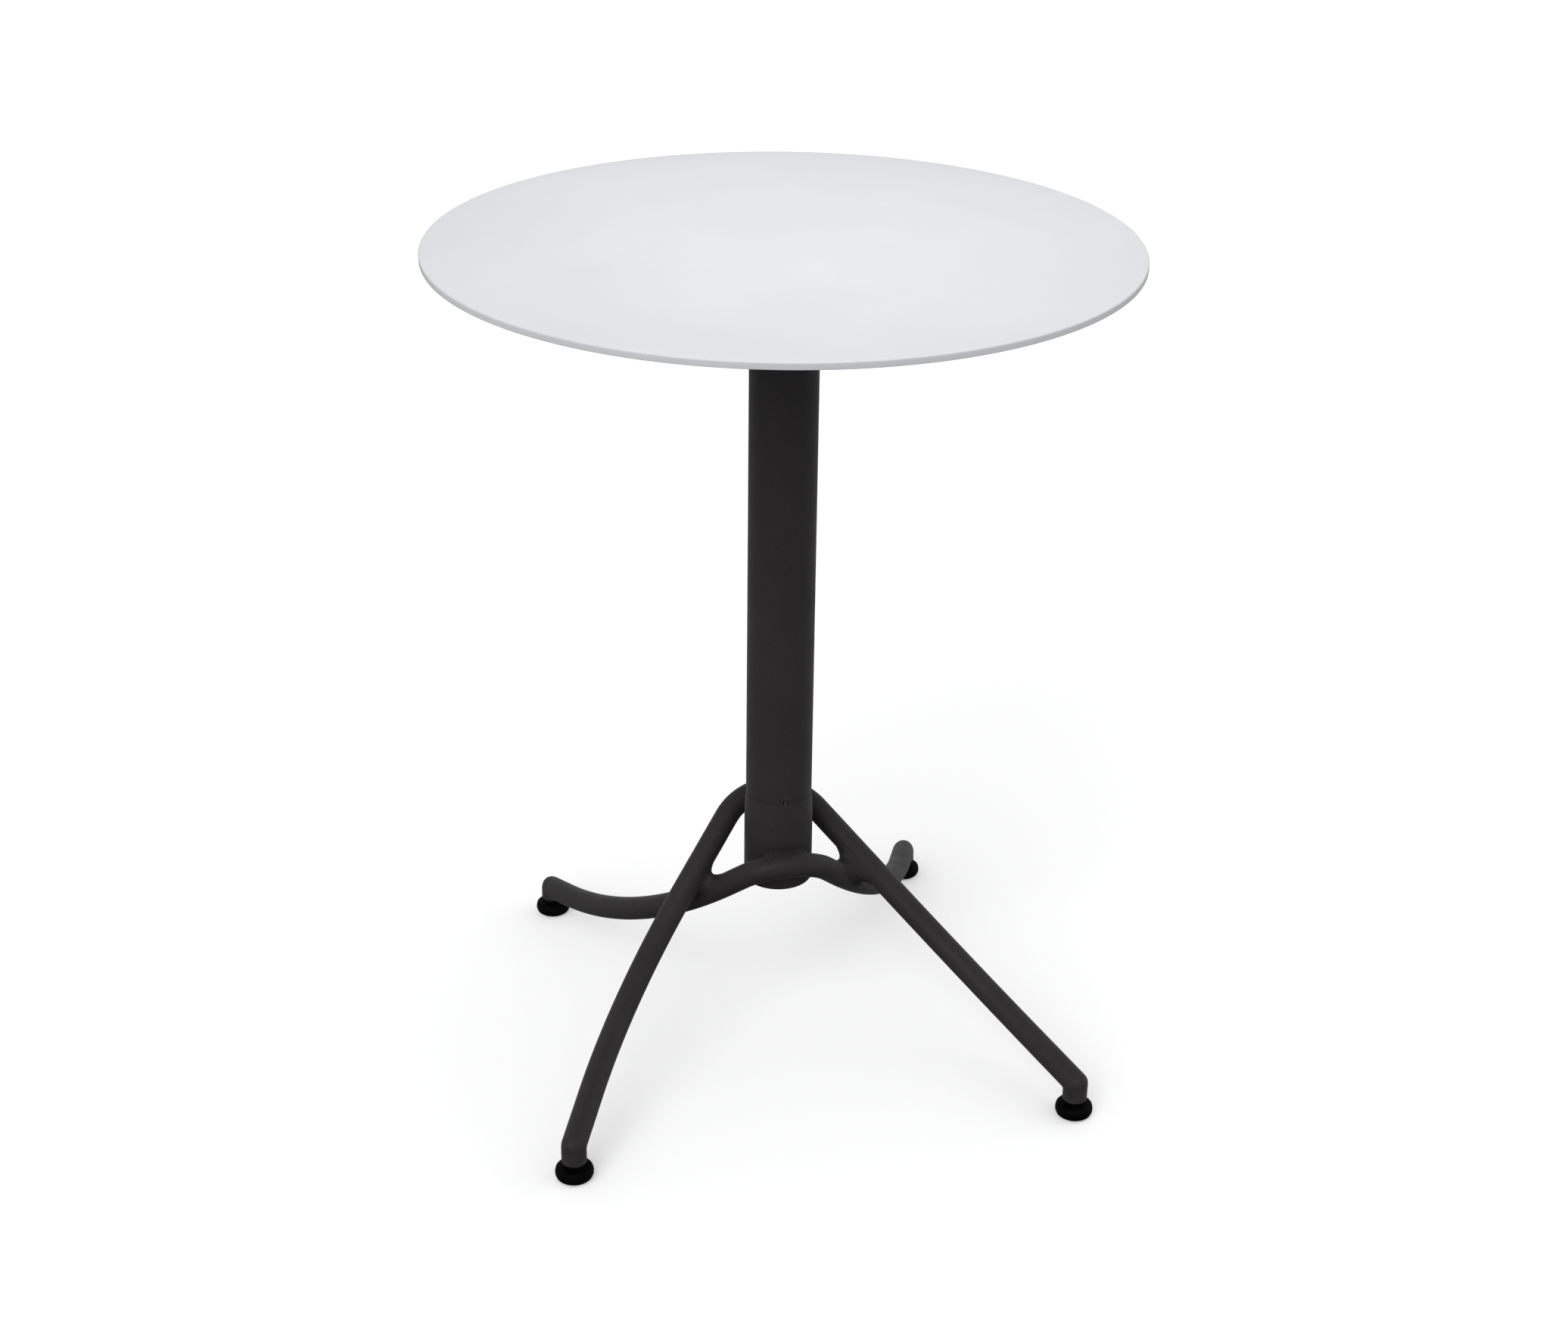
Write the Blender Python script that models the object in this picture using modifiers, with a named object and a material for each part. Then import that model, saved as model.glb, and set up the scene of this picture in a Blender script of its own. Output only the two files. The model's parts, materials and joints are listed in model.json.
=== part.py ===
"""Tilt-top bistro table: round top, round column, and a base of two crossed bent tubes on screw-in glides.

Metres, +Z up. The origin is on the floor, under the centre of the top. -Y is the front, where the release
lever is; the top's hinge is behind the column, and the front edge lifts. Sizes below are measured from the
column's axis, and link() places every piece from there.
"""

import math

import bmesh
import bpy
from mathutils import Matrix, Vector

# ---------------------------------------------------------------- driving dimensions

GAP = 0.0003  # clearance between pieces that touch on the real table

TABLE_HEIGHT = 0.750
TOP_RADIUS = 0.300
TOP_THICKNESS = 0.006
TOP_EDGE_RADIUS = 0.0015
TOP_LOWER_CHAMFER = 0.0006
TOP_CENTRE_Y = 0.007  # the top's centre lies this far behind the column's axis
TOP_SIDES = 72
TOP_EDGE_SEGMENTS = 4

COLUMN_RADIUS = 0.030
COLUMN_WALL = 0.002
COLUMN_TOP_Z = 0.722
COLUMN_SIDES = 36
SEAM_Z = 0.238  # where the column meets the base socket
SEAM_GAP = 0.0005

SOCKET_RADIUS = 0.0313
SOCKET_LIP_RADIUS = 0.0302
SOCKET_FLARE_Z = 0.222
SOCKET_BOTTOM_Z = 0.150
SOCKET_CHAMFER = 0.001
SOCKET_LIP_HEIGHT = 0.005
SOCKET_FLARE_HEIGHT = 0.004

KEY_WIDTH = 0.0040
KEY_HEIGHT = 0.0040
KEY_CLEARANCE = 0.0005
KEY_ROOT = 0.0001  # how far the key stays inside the wall's two faces

SPIGOT_BOTTOM_Z = 0.190
SPIGOT_TOP_Z = 0.300
SPIGOT_WALL = 0.003
SPIGOT_HEAD = 0.010
TIE_SIDES = 24

END_PLATE_Z = 0.162
END_PLATE_THICKNESS = 0.005
WASHER_RADIUS = 0.0105
WASHER_THICKNESS = 0.0017
TIE_BOLT_RADIUS = 0.005
TIE_BOLT_HEAD_RADIUS = 0.008
TIE_BOLT_HEAD = 0.007
TIE_BOLT_SOCKET_RADIUS = 0.0046
TIE_BOLT_SOCKET_DEPTH = 0.004
TIE_BOLT_END = 0.004

LEG_RADIUS = 0.011
LEG_WALL = 0.002
LEG_END_Z = 0.0169  # lower end of every leg
LEG_SIDES_RESOLUTION = 4  # bevel resolution: 12 sides
LEG_FOOT_BEND = 0.0115
FOOT_BEND_SEGMENTS = 5
SWEEP_BEND_SEGMENTS = 6
APEX_BEND_SEGMENTS = 8

# Each leg tube is bent from one length. Its corners run from the middle of the bend at the column out to
# the foot on the -X side; the other half is the mirror image.
FRONT_APEX = (0.0, 0.0645, 0.2442)
FRONT_SWEEP = (-0.1576, -0.0648, 0.0751)
FRONT_FOOT = (-0.2258, -0.2177, 0.0325)
FRONT_APEX_BEND = 0.0533
FRONT_SWEEP_BEND = 0.3677
REAR_APEX = (0.0, -0.0692, 0.2109)
REAR_SWEEP = (-0.1249, 0.0616, 0.0685)
REAR_FOOT = (-0.1840, 0.2180, 0.0266)
REAR_APEX_BEND = 0.0466
REAR_SWEEP_BEND = 0.4809

FRONT_WELD_REACH = 0.017
REAR_WELD_REACH = 0.024
SOCKET_WELD_RADIUS = 0.0050
SOCKET_WELD_OFFSET = 0.0068
SOCKET_WELD_LIFT = 0.0102
SOCKET_WELD_FOLLOW = 0.70  # share of the socket's curve that a bead follows away from its middle
CROSSING_WELD_RADIUS = 0.0125
WELD_SPACE_RESOLUTION = 8  # finer than the tubes, so that a weld stays clear of them

GLIDE_RADIUS = 0.01675
GLIDE_CONTACT_RADIUS = 0.0125
GLIDE_HEIGHT = 0.012
GLIDE_BORE_RADIUS = 0.0043
GLIDE_HUB_RADIUS = 0.0085
GLIDE_SIDES = 20
STUD_RADIUS = 0.004
STUD_BOTTOM_Z = 0.0045
STUD_TOP_Z = 0.0295
STUD_COLLAR_Z = 0.0123
STUD_COLLAR_HEIGHT = 0.0024
STUD_COLLAR_RADIUS = 0.0072
INSERT_FLANGE = 0.0015
INSERT_BARREL_TOP_Z = 0.0225
INSERT_CLEARANCE = 0.0008
INSERT_TAPER = 0.0012
INSERT_SIDES = 16

HINGE_Y = 0.046
HINGE_Z = 0.718
HINGE_PIN_RADIUS = 0.004
HINGE_PIN_HEAD_RADIUS = 0.0065
HINGE_PIN_HEAD = 0.0025
HINGE_PIN_OVERHANG = 0.0045
HINGE_KNUCKLE_RADIUS = 0.011
CLIP_RADIUS = 0.0072
CLIP_THICKNESS = 0.0012

BRACKET_HALF_WIDTH = 0.022
BRACKET_SHEET = 0.003
BRACKET_BOTTOM_Z = 0.6325
BRACKET_LOWER_BACK_Y = 0.041
BRACKET_WEB_TOP_Z = 0.700
BRACKET_WAIST_Z = 0.668  # above it the cheeks widen towards the pin
BRACKET_SHOULDER_DROP = 0.018

CARRIER_THICKNESS = 0.004
CARRIER_WIDTH = 0.150
CARRIER_DEPTH = 0.170
CARRIER_CORNER = 0.018
LUG_SHEET = 0.003
LUG_INNER_X = 0.0144
LUG_END_RADIUS = 0.009
LUG_ROOT_HALF = 0.013
LEVER_LUG_INNER_X = 0.008
LEVER_LUG_END_RADIUS = 0.006
LEVER_LUG_ROOT_HALF = 0.009

BUSH_BARREL_RADIUS = 0.0058
BUSH_FLANGE_RADIUS = 0.008
BUSH_FLANGE = 0.001

SCREW_SPACING_X = 0.120
SCREW_SPACING_Y = 0.140
SCREW_RADIUS = 0.0025
SCREW_HEAD_RADIUS = 0.006
SCREW_HEAD = 0.0033
SCREW_DEPTH_IN_TOP = 0.0042
SCREW_DRIVE_RADIUS = 0.0022
SCREW_DRIVE_DEPTH = 0.0018

CAP_FLANGE = 0.007
CAP_PLUG_DEPTH = 0.022
REST_PAD_RADIUS = 0.020
CAP_SIDES = 28

LEVER_Y = -0.050
LEVER_Z = 0.7265
LEVER_THICKNESS = 0.005
LEVER_PIN_RADIUS = 0.003
LEVER_PIN_RIVET = 0.0014
LEVER_TIP_Y = -0.142
LEVER_TIP_Z = 0.7125
LEVER_STRIP_HALF = 0.0045
LEVER_SHANK_BACK = 0.0055
LEVER_SHANK_FRONT = 0.0065
LEVER_HEAD_HEIGHT = 0.0058
HOOK_NOSE_Z = 0.6997  # upper face of the hook, just under the keeper
HOOK_NOSE_Y = -0.0330
HOOK_HEIGHT = 0.006
GRIP_LENGTH = 0.058
GRIP_HALF_HEIGHT = 0.0072
GRIP_WIDTH = 0.016
GRIP_END = 0.004

KEEPER_Z = 0.700
KEEPER_HEIGHT = 0.012
KEEPER_DEPTH = 0.006
KEEPER_WIDTH = 0.018
KEEPER_WRAP = 0.004  # its back is hollowed to the column

SPRING_WIRE = 0.0006
SPRING_RADIUS = 0.0046
SPRING_TURNS = 3
SPRING_START_X = 0.0036
SPRING_PITCH = 0.00125
SPRING_STEPS = 10  # points in each turn

CUT_PAST = 0.002  # how far a cutting shape runs past the face it cuts

# ---------------------------------------------------------------- derived sizes

TOP_UNDERSIDE_Z = TABLE_HEIGHT - TOP_THICKNESS
CARRIER_TOP_Z = TOP_UNDERSIDE_Z - GAP
CARRIER_BOTTOM_Z = CARRIER_TOP_Z - CARRIER_THICKNESS
COLUMN_BORE = COLUMN_RADIUS - COLUMN_WALL
SPIGOT_RADIUS = COLUMN_BORE - GAP
LUG_OUTER_X = LUG_INNER_X + LUG_SHEET
BRACKET_WEB_HALF = BRACKET_HALF_WIDTH - BRACKET_SHEET + 0.001
CAP_TOP_Z = COLUMN_TOP_Z + GAP + CAP_FLANGE
BRACKET_WEB_Y = COLUMN_RADIUS + GAP

# ---------------------------------------------------------------- scene, materials and shared helpers

for old in list(bpy.data.objects):
    bpy.data.objects.remove(old, do_unlink=True)

PARTS = bpy.data.collections.new("bistro_table")
CUTTERS = bpy.data.collections.new("cutters")
bpy.context.scene.collection.children.link(PARTS)
bpy.context.scene.collection.children.link(CUTTERS)


def material(name, colour, roughness, metallic):
    made = bpy.data.materials.new(name)
    made.use_nodes = True
    shader = made.node_tree.nodes["Principled BSDF"]
    shader.inputs["Base Color"].default_value = (*colour, 1.0)
    shader.inputs["Roughness"].default_value = roughness
    shader.inputs["Metallic"].default_value = metallic
    made.diffuse_color = (*colour, 1.0)
    return made


WHITE_TOP = material("white_top", (0.83, 0.84, 0.87), 0.42, 0.0)
ANTHRACITE = material("anthracite_powder_coat", (0.030, 0.029, 0.030), 0.55, 0.3)
BLACK_PLASTIC = material("black_plastic", (0.012, 0.012, 0.012), 0.5, 0.0)
NATURAL_NYLON = material("natural_nylon", (0.62, 0.60, 0.54), 0.5, 0.0)
BLACK_RUBBER = material("black_rubber", (0.02, 0.02, 0.02), 0.85, 0.0)
ZINC_STEEL = material("zinc_steel", (0.55, 0.56, 0.57), 0.32, 1.0)
SPRING_STEEL = material("spring_steel", (0.42, 0.42, 0.43), 0.28, 1.0)

ALONG_Y_AND_Z = Matrix(((0, 0, 1, 0), (1, 0, 0, 0), (0, 1, 0, 0), (0, 0, 0, 1)))
ALONG_X = Matrix.Rotation(math.pi / 2, 4, "Y")
FROM_COLUMN_AXIS = Matrix.Translation((0.0, -TOP_CENTRE_Y, 0.0))


def link(name, mesh, finish=None, matrix=None, smooth=True):
    """A new object in the parts collection, or a cutter when it has no finish."""
    made = bpy.data.objects.new(name, mesh)
    if finish is None:
        CUTTERS.objects.link(made)
        made.hide_render = True
        made.display_type = "WIRE"
    else:
        PARTS.objects.link(made)
    if mesh is not None and finish is not None:
        mesh.materials.append(finish)
    made.matrix_world = FROM_COLUMN_AXIS @ (Matrix.Identity(4) if matrix is None else matrix)
    if smooth and hasattr(mesh, "shade_smooth"):
        mesh.shade_smooth()
        mesh.set_sharp_from_angle(angle=math.radians(35))
    return made


def turned(name, profile, finish=None, steps=20, closed=False, matrix=None):
    """A turned piece. The profile's (radius, height) points run down its outer side."""
    mesh = bpy.data.meshes.new(name)
    points = [(radius, 0.0, height) for radius, height in profile]
    edges = [(i, i + 1) for i in range(len(points) - 1)]
    if closed:
        edges.append((len(points) - 1, 0))
    mesh.from_pydata(points, edges, [])
    made = link(name, mesh, finish, matrix, smooth=False)
    screw = made.modifiers.new("turn", "SCREW")
    screw.steps = steps
    screw.render_steps = steps
    screw.use_merge_vertices = True
    screw.merge_threshold = 0.00001
    screw.use_smooth_shade = True
    return made


def ring(name, outer, inner, low, high, finish=None, steps=20, matrix=None):
    """A plain bush, washer or tube."""
    profile = [(outer, high), (outer, low), (inner, low), (inner, high)]
    return turned(name, profile, finish, steps, closed=True, matrix=matrix)


def block(name, low, high, finish=None, bevel=0.0):
    """A box between two corners, with its edges rounded by bevel."""
    mesh = bpy.data.meshes.new(name)
    work = bmesh.new()
    bmesh.ops.create_cube(work, size=1.0)
    size = Vector(high) - Vector(low)
    bmesh.ops.scale(work, vec=size, verts=work.verts)
    bmesh.ops.translate(work, vec=(Vector(high) + Vector(low)) / 2, verts=work.verts)
    work.to_mesh(mesh)
    work.free()
    made = link(name, mesh, finish, smooth=False)
    if bevel > 0.0:
        rounding = made.modifiers.new("edges", "BEVEL")
        rounding.width = bevel
        rounding.segments = 2
        rounding.limit_method = "ANGLE"
    return made


def rod(name, radius, start, end, finish=None, sides=32):
    """A cylinder between two points."""
    mesh = bpy.data.meshes.new(name)
    work = bmesh.new()
    direction = Vector(end) - Vector(start)
    turn = direction.to_track_quat("Z", "Y").to_matrix().to_4x4()
    place = Matrix.Translation((Vector(end) + Vector(start)) / 2) @ turn
    size = {"radius1": radius, "radius2": radius, "depth": direction.length}
    bmesh.ops.create_cone(work, cap_ends=True, segments=sides, matrix=place, **size)
    work.to_mesh(mesh)
    work.free()
    return link(name, mesh, finish)


def arc_between(before, corner, after, radius, segments):
    """Points of the round bend of this radius that replaces a corner."""
    towards_before = (before - corner).normalized()
    towards_after = (after - corner).normalized()
    half_angle = towards_before.angle(towards_after) / 2
    setback = radius / math.tan(half_angle)
    centre = corner + (towards_before + towards_after).normalized() * (radius / math.sin(half_angle))
    start = corner + towards_before * setback - centre
    end = corner + towards_after * setback - centre
    sweep = math.pi - 2 * half_angle
    points = []
    for i in range(segments + 1):
        share = i / segments
        mixed = start * math.sin((1 - share) * sweep) + end * math.sin(share * sweep)
        points.append(centre + mixed / math.sin(sweep))
    return points


def bent_path(corners, bends):
    """A route with its inner corners rounded. Each bend is (radius, segments)."""
    route = [Vector(corner) for corner in corners]
    points = [route[0]]
    for i, (radius, segments) in enumerate(bends, start=1):
        points += arc_between(route[i - 1], route[i], route[i + 1], radius, segments)
    points.append(route[-1])
    return points


def rounded_outline(corners):
    """A closed flat outline. Each corner is (u, v, radius)."""
    count = len(corners)
    points = []
    for i, (u, v, radius) in enumerate(corners):
        here = Vector((u, v, 0.0))
        if radius <= 0.0:
            points.append(here)
            continue
        before = Vector((*corners[i - 1][:2], 0.0))
        after = Vector((*corners[(i + 1) % count][:2], 0.0))
        points += arc_between(before, here, after, radius, 4)
    return points


def circle_outline(centre, radius, sides=16):
    """A closed round outline, for a hole."""
    middle = Vector((*centre, 0.0))
    turns = [2 * math.pi * i / sides for i in range(sides)]
    return [middle + Vector((radius * math.cos(turn), radius * math.sin(turn), 0.0)) for turn in turns]


def add_spline(curve, points, cyclic):
    spline = curve.splines.new("POLY")
    spline.points.add(len(points) - 1)
    for slot, point in zip(spline.points, points):
        slot.co = (*point, 1.0)
    spline.use_cyclic_u = cyclic


def mesh_from_curve(name, curve, finish, matrix=None):
    """The curve's own mesh, with its caps welded, as an object."""
    guide = bpy.data.objects.new(name + "_curve", curve)
    CUTTERS.objects.link(guide)
    graph = bpy.context.evaluated_depsgraph_get()
    graph.update()
    mesh = bpy.data.meshes.new_from_object(guide.evaluated_get(graph))
    work = bmesh.new()
    work.from_mesh(mesh)
    bmesh.ops.remove_doubles(work, verts=work.verts, dist=0.000001)
    bmesh.ops.recalc_face_normals(work, faces=work.faces)
    work.to_mesh(mesh)
    work.free()
    mesh.name = name
    bpy.data.objects.remove(guide, do_unlink=True)
    return link(name, mesh, finish, matrix)


def plate(name, outlines, thickness, finish=None, matrix=None, shift=0.0):
    """A flat plate cut to the first outline, with the others as holes. shift moves it along its normal."""
    curve = bpy.data.curves.new(name, "CURVE")
    curve.dimensions = "2D"
    curve.fill_mode = "BOTH"
    curve.extrude = thickness / 2
    for outline in outlines:
        add_spline(curve, outline, cyclic=True)
    place = matrix if matrix is not None else Matrix.Identity(4)
    return mesh_from_curve(name, curve, finish, place @ Matrix.Translation((0.0, 0.0, shift)))


def tube(name, points, radius, resolution, finish=None):
    """A round bar along the points."""
    curve = bpy.data.curves.new(name, "CURVE")
    curve.dimensions = "3D"
    curve.bevel_depth = radius
    curve.bevel_resolution = resolution
    curve.use_fill_caps = True
    add_spline(curve, points, cyclic=False)
    return mesh_from_curve(name, curve, finish)


def combine(target, other, operation):
    """Cuts the other shape out of the target, or joins it on."""
    change = target.modifiers.new(operation.lower(), "BOOLEAN")
    change.operation = operation
    change.object = other
    change.solver = "EXACT"


def side_sign(side):
    return -1 if side == "left" else 1


# ---------------------------------------------------------------- base


def leg_path(apex, sweep, foot, apex_bend, sweep_bend):
    """Centre line of a whole leg tube, from the left foot over the column to the right foot."""
    half = [(foot[0], foot[1], LEG_END_Z), foot, sweep]
    other = [(-x, y, z) for x, y, z in reversed(half)]
    foot_bend = (LEG_FOOT_BEND, FOOT_BEND_SEGMENTS)
    sweep = (sweep_bend, SWEEP_BEND_SEGMENTS)
    bends = [foot_bend, sweep, (apex_bend, APEX_BEND_SEGMENTS), sweep, foot_bend]
    return bent_path(half + [apex] + other, bends)


FRONT_PATH = leg_path(FRONT_APEX, FRONT_SWEEP, FRONT_FOOT, FRONT_APEX_BEND, FRONT_SWEEP_BEND)
REAR_PATH = leg_path(REAR_APEX, REAR_SWEEP, REAR_FOOT, REAR_APEX_BEND, REAR_SWEEP_BEND)


def make_leg_tube(name, path):
    """A bent pipe: a round bar along the path with its bore cut out through both ends."""
    made = tube(name, path, LEG_RADIUS, LEG_SIDES_RESOLUTION, ANTHRACITE)
    past_end = Vector((0.0, 0.0, -CUT_PAST))
    bore_path = [path[0] + past_end] + path[1:-1] + [path[-1] + past_end]
    bore = tube(f"{name}_bore_shape", bore_path, LEG_RADIUS - LEG_WALL, LEG_SIDES_RESOLUTION)
    combine(made, bore, "DIFFERENCE")


def make_socket():
    """The base's upright sleeve, flared a little below its lip, with a locating key at the front."""
    profile = [
        (SOCKET_LIP_RADIUS, SEAM_Z - SEAM_GAP),
        (SOCKET_LIP_RADIUS + 0.0002, SEAM_Z - SOCKET_LIP_HEIGHT),
        (SOCKET_RADIUS - 0.0003, SOCKET_FLARE_Z + SOCKET_FLARE_HEIGHT),
        (SOCKET_RADIUS, SOCKET_FLARE_Z),
        (SOCKET_RADIUS, SOCKET_BOTTOM_Z + SOCKET_CHAMFER),
        (SOCKET_RADIUS - SOCKET_CHAMFER, SOCKET_BOTTOM_Z),
        (COLUMN_BORE, SOCKET_BOTTOM_Z),
        (COLUMN_BORE, SEAM_Z - SEAM_GAP),
    ]
    made = turned("base_socket", profile, ANTHRACITE, steps=COLUMN_SIDES, closed=True)
    key = block(
        "key_shape",
        (-KEY_WIDTH / 2, -COLUMN_RADIUS + KEY_ROOT, SEAM_Z - CUT_PAST),
        (KEY_WIDTH / 2, -COLUMN_BORE - KEY_ROOT, SEAM_Z + KEY_HEIGHT),
    )
    combine(made, key, "UNION")


def make_column():
    made = ring("column_tube", COLUMN_RADIUS, COLUMN_BORE, SEAM_Z, COLUMN_TOP_Z, ANTHRACITE, COLUMN_SIDES)
    half_width = KEY_WIDTH / 2 + KEY_CLEARANCE
    notch = block(
        "notch_shape",
        (-half_width, -COLUMN_RADIUS - CUT_PAST, SEAM_Z - CUT_PAST),
        (half_width, -COLUMN_BORE + CUT_PAST, SEAM_Z + KEY_HEIGHT + KEY_CLEARANCE),
    )
    combine(made, notch, "DIFFERENCE")


def make_tie():
    """The column's inner spigot, the socket's end plate, and the bolt that draws them together."""
    bore = TIE_BOLT_RADIUS + GAP
    spigot = [
        (SPIGOT_RADIUS, SPIGOT_TOP_Z),
        (SPIGOT_RADIUS, SPIGOT_BOTTOM_Z),
        (SPIGOT_RADIUS - SPIGOT_WALL, SPIGOT_BOTTOM_Z),
        (SPIGOT_RADIUS - SPIGOT_WALL, SPIGOT_TOP_Z - SPIGOT_HEAD),
        (bore, SPIGOT_TOP_Z - SPIGOT_HEAD),
        (bore, SPIGOT_TOP_Z),
    ]
    turned("column_spigot", spigot, ZINC_STEEL, steps=TIE_SIDES, closed=True)
    plate_top = END_PLATE_Z + END_PLATE_THICKNESS
    ring("socket_end_plate", SPIGOT_RADIUS, bore, END_PLATE_Z, plate_top, ANTHRACITE, TIE_SIDES)
    washer_top = END_PLATE_Z - GAP
    ring("tie_washer", WASHER_RADIUS, bore, washer_top - WASHER_THICKNESS, washer_top, ZINC_STEEL)
    head_top = washer_top - WASHER_THICKNESS - GAP
    head_low = head_top - TIE_BOLT_HEAD
    bolt = [
        (0.0, SPIGOT_TOP_Z + TIE_BOLT_END),
        (TIE_BOLT_RADIUS - 0.001, SPIGOT_TOP_Z + TIE_BOLT_END),
        (TIE_BOLT_RADIUS, SPIGOT_TOP_Z + TIE_BOLT_END - 0.001),
        (TIE_BOLT_RADIUS, head_top),
        (TIE_BOLT_HEAD_RADIUS, head_top),
        (TIE_BOLT_HEAD_RADIUS, head_low + 0.0008),
        (TIE_BOLT_HEAD_RADIUS - 0.0008, head_low),
        (0.0, head_low),
    ]
    made = turned("tie_bolt", bolt, ZINC_STEEL)
    drive = rod(
        "tie_bolt_drive",
        TIE_BOLT_SOCKET_RADIUS,
        (0, 0, head_low - CUT_PAST),
        (0, 0, head_low + TIE_BOLT_SOCKET_DEPTH),
        sides=6,
    )
    combine(made, drive, "DIFFERENCE")


def make_socket_welds(name, path, toward_axis, reach, shared_cutters):
    """Fillet beads above and below the bend where a leg tube lies against the socket."""
    near = [point for point in path if abs(point.x) < reach]
    for level, lift in (("upper", SOCKET_WELD_LIFT), ("lower", -SOCKET_WELD_LIFT)):
        line = []
        for point in near:
            curve = SOCKET_RADIUS - math.sqrt(SOCKET_RADIUS**2 - point.x**2)
            inward = SOCKET_WELD_OFFSET + SOCKET_WELD_FOLLOW * curve
            line.append(point + Vector((0.0, toward_axis * inward, lift)))
        bead = tube(f"{name}_{level}", line, SOCKET_WELD_RADIUS, 2, ANTHRACITE)
        for cutter in shared_cutters:
            combine(bead, cutter, "DIFFERENCE")


def crossing_point(first, second):
    """The middle of the shortest gap between two routes, on the -X side."""
    best = None
    steps = 8
    for i in range(1, len(first) // 2):
        for j in range(1, len(second) // 2):
            for u in range(steps + 1):
                for v in range(steps + 1):
                    a = first[i - 1].lerp(first[i], u / steps)
                    b = second[j - 1].lerp(second[j], v / steps)
                    gap = (a - b).length
                    if best is None or gap < best[0]:
                        best = (gap, (a + b) / 2)
    return best[1]


def make_crossing_weld(side, shared_cutters):
    """The blob of weld that joins the two leg tubes where they cross."""
    centre = crossing_point(FRONT_PATH, REAR_PATH) * Vector((-side_sign(side), 1.0, 1.0))
    mesh = bpy.data.meshes.new(f"crossing_weld_{side}")
    work = bmesh.new()
    bmesh.ops.create_icosphere(work, subdivisions=3, radius=CROSSING_WELD_RADIUS)
    bmesh.ops.translate(work, vec=centre, verts=work.verts)
    work.to_mesh(mesh)
    work.free()
    made = link(f"crossing_weld_{side}", mesh, ANTHRACITE)
    for cutter in shared_cutters:
        combine(made, cutter, "DIFFERENCE")


def make_base():
    make_leg_tube("front_leg_tube", FRONT_PATH)
    make_leg_tube("rear_leg_tube", REAR_PATH)
    make_socket()
    make_column()
    make_tie()
    socket_space = rod("socket_space", SOCKET_RADIUS + GAP, (0, 0, 0.10), (0, 0, 0.30), sides=96)
    past_foot = FOOT_BEND_SEGMENTS + 2
    fat = LEG_RADIUS + GAP
    front_space = tube("front_tube_space", FRONT_PATH[past_foot:-past_foot], fat, WELD_SPACE_RESOLUTION)
    rear_space = tube("rear_tube_space", REAR_PATH[past_foot:-past_foot], fat, WELD_SPACE_RESOLUTION)
    make_socket_welds("front_tube_weld", FRONT_PATH, -1, FRONT_WELD_REACH, (socket_space, front_space))
    make_socket_welds("rear_tube_weld", REAR_PATH, 1, REAR_WELD_REACH, (socket_space, rear_space))
    make_crossing_weld("left", (front_space, rear_space))
    make_crossing_weld("right", (front_space, rear_space))


# ---------------------------------------------------------------- glides


def make_glide(corner, x, y):
    """One screw-in levelling glide: the leg's plastic insert, the threaded stud and the moulded pad."""
    place = Matrix.Translation((x, y, 0.0))
    bore = GLIDE_BORE_RADIUS
    flange_top = LEG_END_Z - GAP
    barrel = LEG_RADIUS - LEG_WALL - INSERT_CLEARANCE
    insert = [
        (barrel - INSERT_TAPER, INSERT_BARREL_TOP_Z),
        (barrel, LEG_END_Z + INSERT_FLANGE),
        (barrel, flange_top),
        (LEG_RADIUS, flange_top),
        (LEG_RADIUS, flange_top - INSERT_FLANGE),
        (bore, flange_top - INSERT_FLANGE),
        (bore, INSERT_BARREL_TOP_Z),
    ]
    turned(f"glide_insert_{corner}", insert, BLACK_PLASTIC, steps=INSERT_SIDES, closed=True, matrix=place)
    pad = [
        (0.0, STUD_BOTTOM_Z - GAP),
        (bore, STUD_BOTTOM_Z - GAP),
        (bore, GLIDE_HEIGHT),
        (GLIDE_HUB_RADIUS, GLIDE_HEIGHT),
        (GLIDE_RADIUS - 0.0035, GLIDE_HEIGHT - 0.0004),
        (GLIDE_RADIUS - 0.0010, GLIDE_HEIGHT - 0.0020),
        (GLIDE_RADIUS, GLIDE_HEIGHT - 0.0045),
        (GLIDE_RADIUS, 0.0045),
        (GLIDE_RADIUS - 0.0012, 0.0018),
        (GLIDE_CONTACT_RADIUS + 0.0012, 0.0003),
        (GLIDE_CONTACT_RADIUS, 0.0),
        (0.0, 0.0),
    ]
    turned(f"glide_pad_{corner}", pad, BLACK_PLASTIC, steps=GLIDE_SIDES, matrix=place)
    stud = [
        (0.0, STUD_TOP_Z),
        (STUD_RADIUS - 0.0008, STUD_TOP_Z),
        (STUD_RADIUS, STUD_TOP_Z - 0.0008),
        (STUD_RADIUS, STUD_BOTTOM_Z),
        (0.0, STUD_BOTTOM_Z),
    ]
    made = turned(f"glide_stud_{corner}", stud, ZINC_STEEL, steps=INSERT_SIDES, matrix=place)
    collar = rod(
        f"collar_shape_{corner}",
        STUD_COLLAR_RADIUS,
        (x, y, STUD_COLLAR_Z),
        (x, y, STUD_COLLAR_Z + STUD_COLLAR_HEIGHT),
        sides=6,
    )
    combine(made, collar, "UNION")


def make_glides():
    for end, foot in (("front", FRONT_FOOT), ("rear", REAR_FOOT)):
        for side in ("left", "right"):
            make_glide(f"{end}_{side}", abs(foot[0]) * side_sign(side), foot[1])


# ---------------------------------------------------------------- column head


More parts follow.
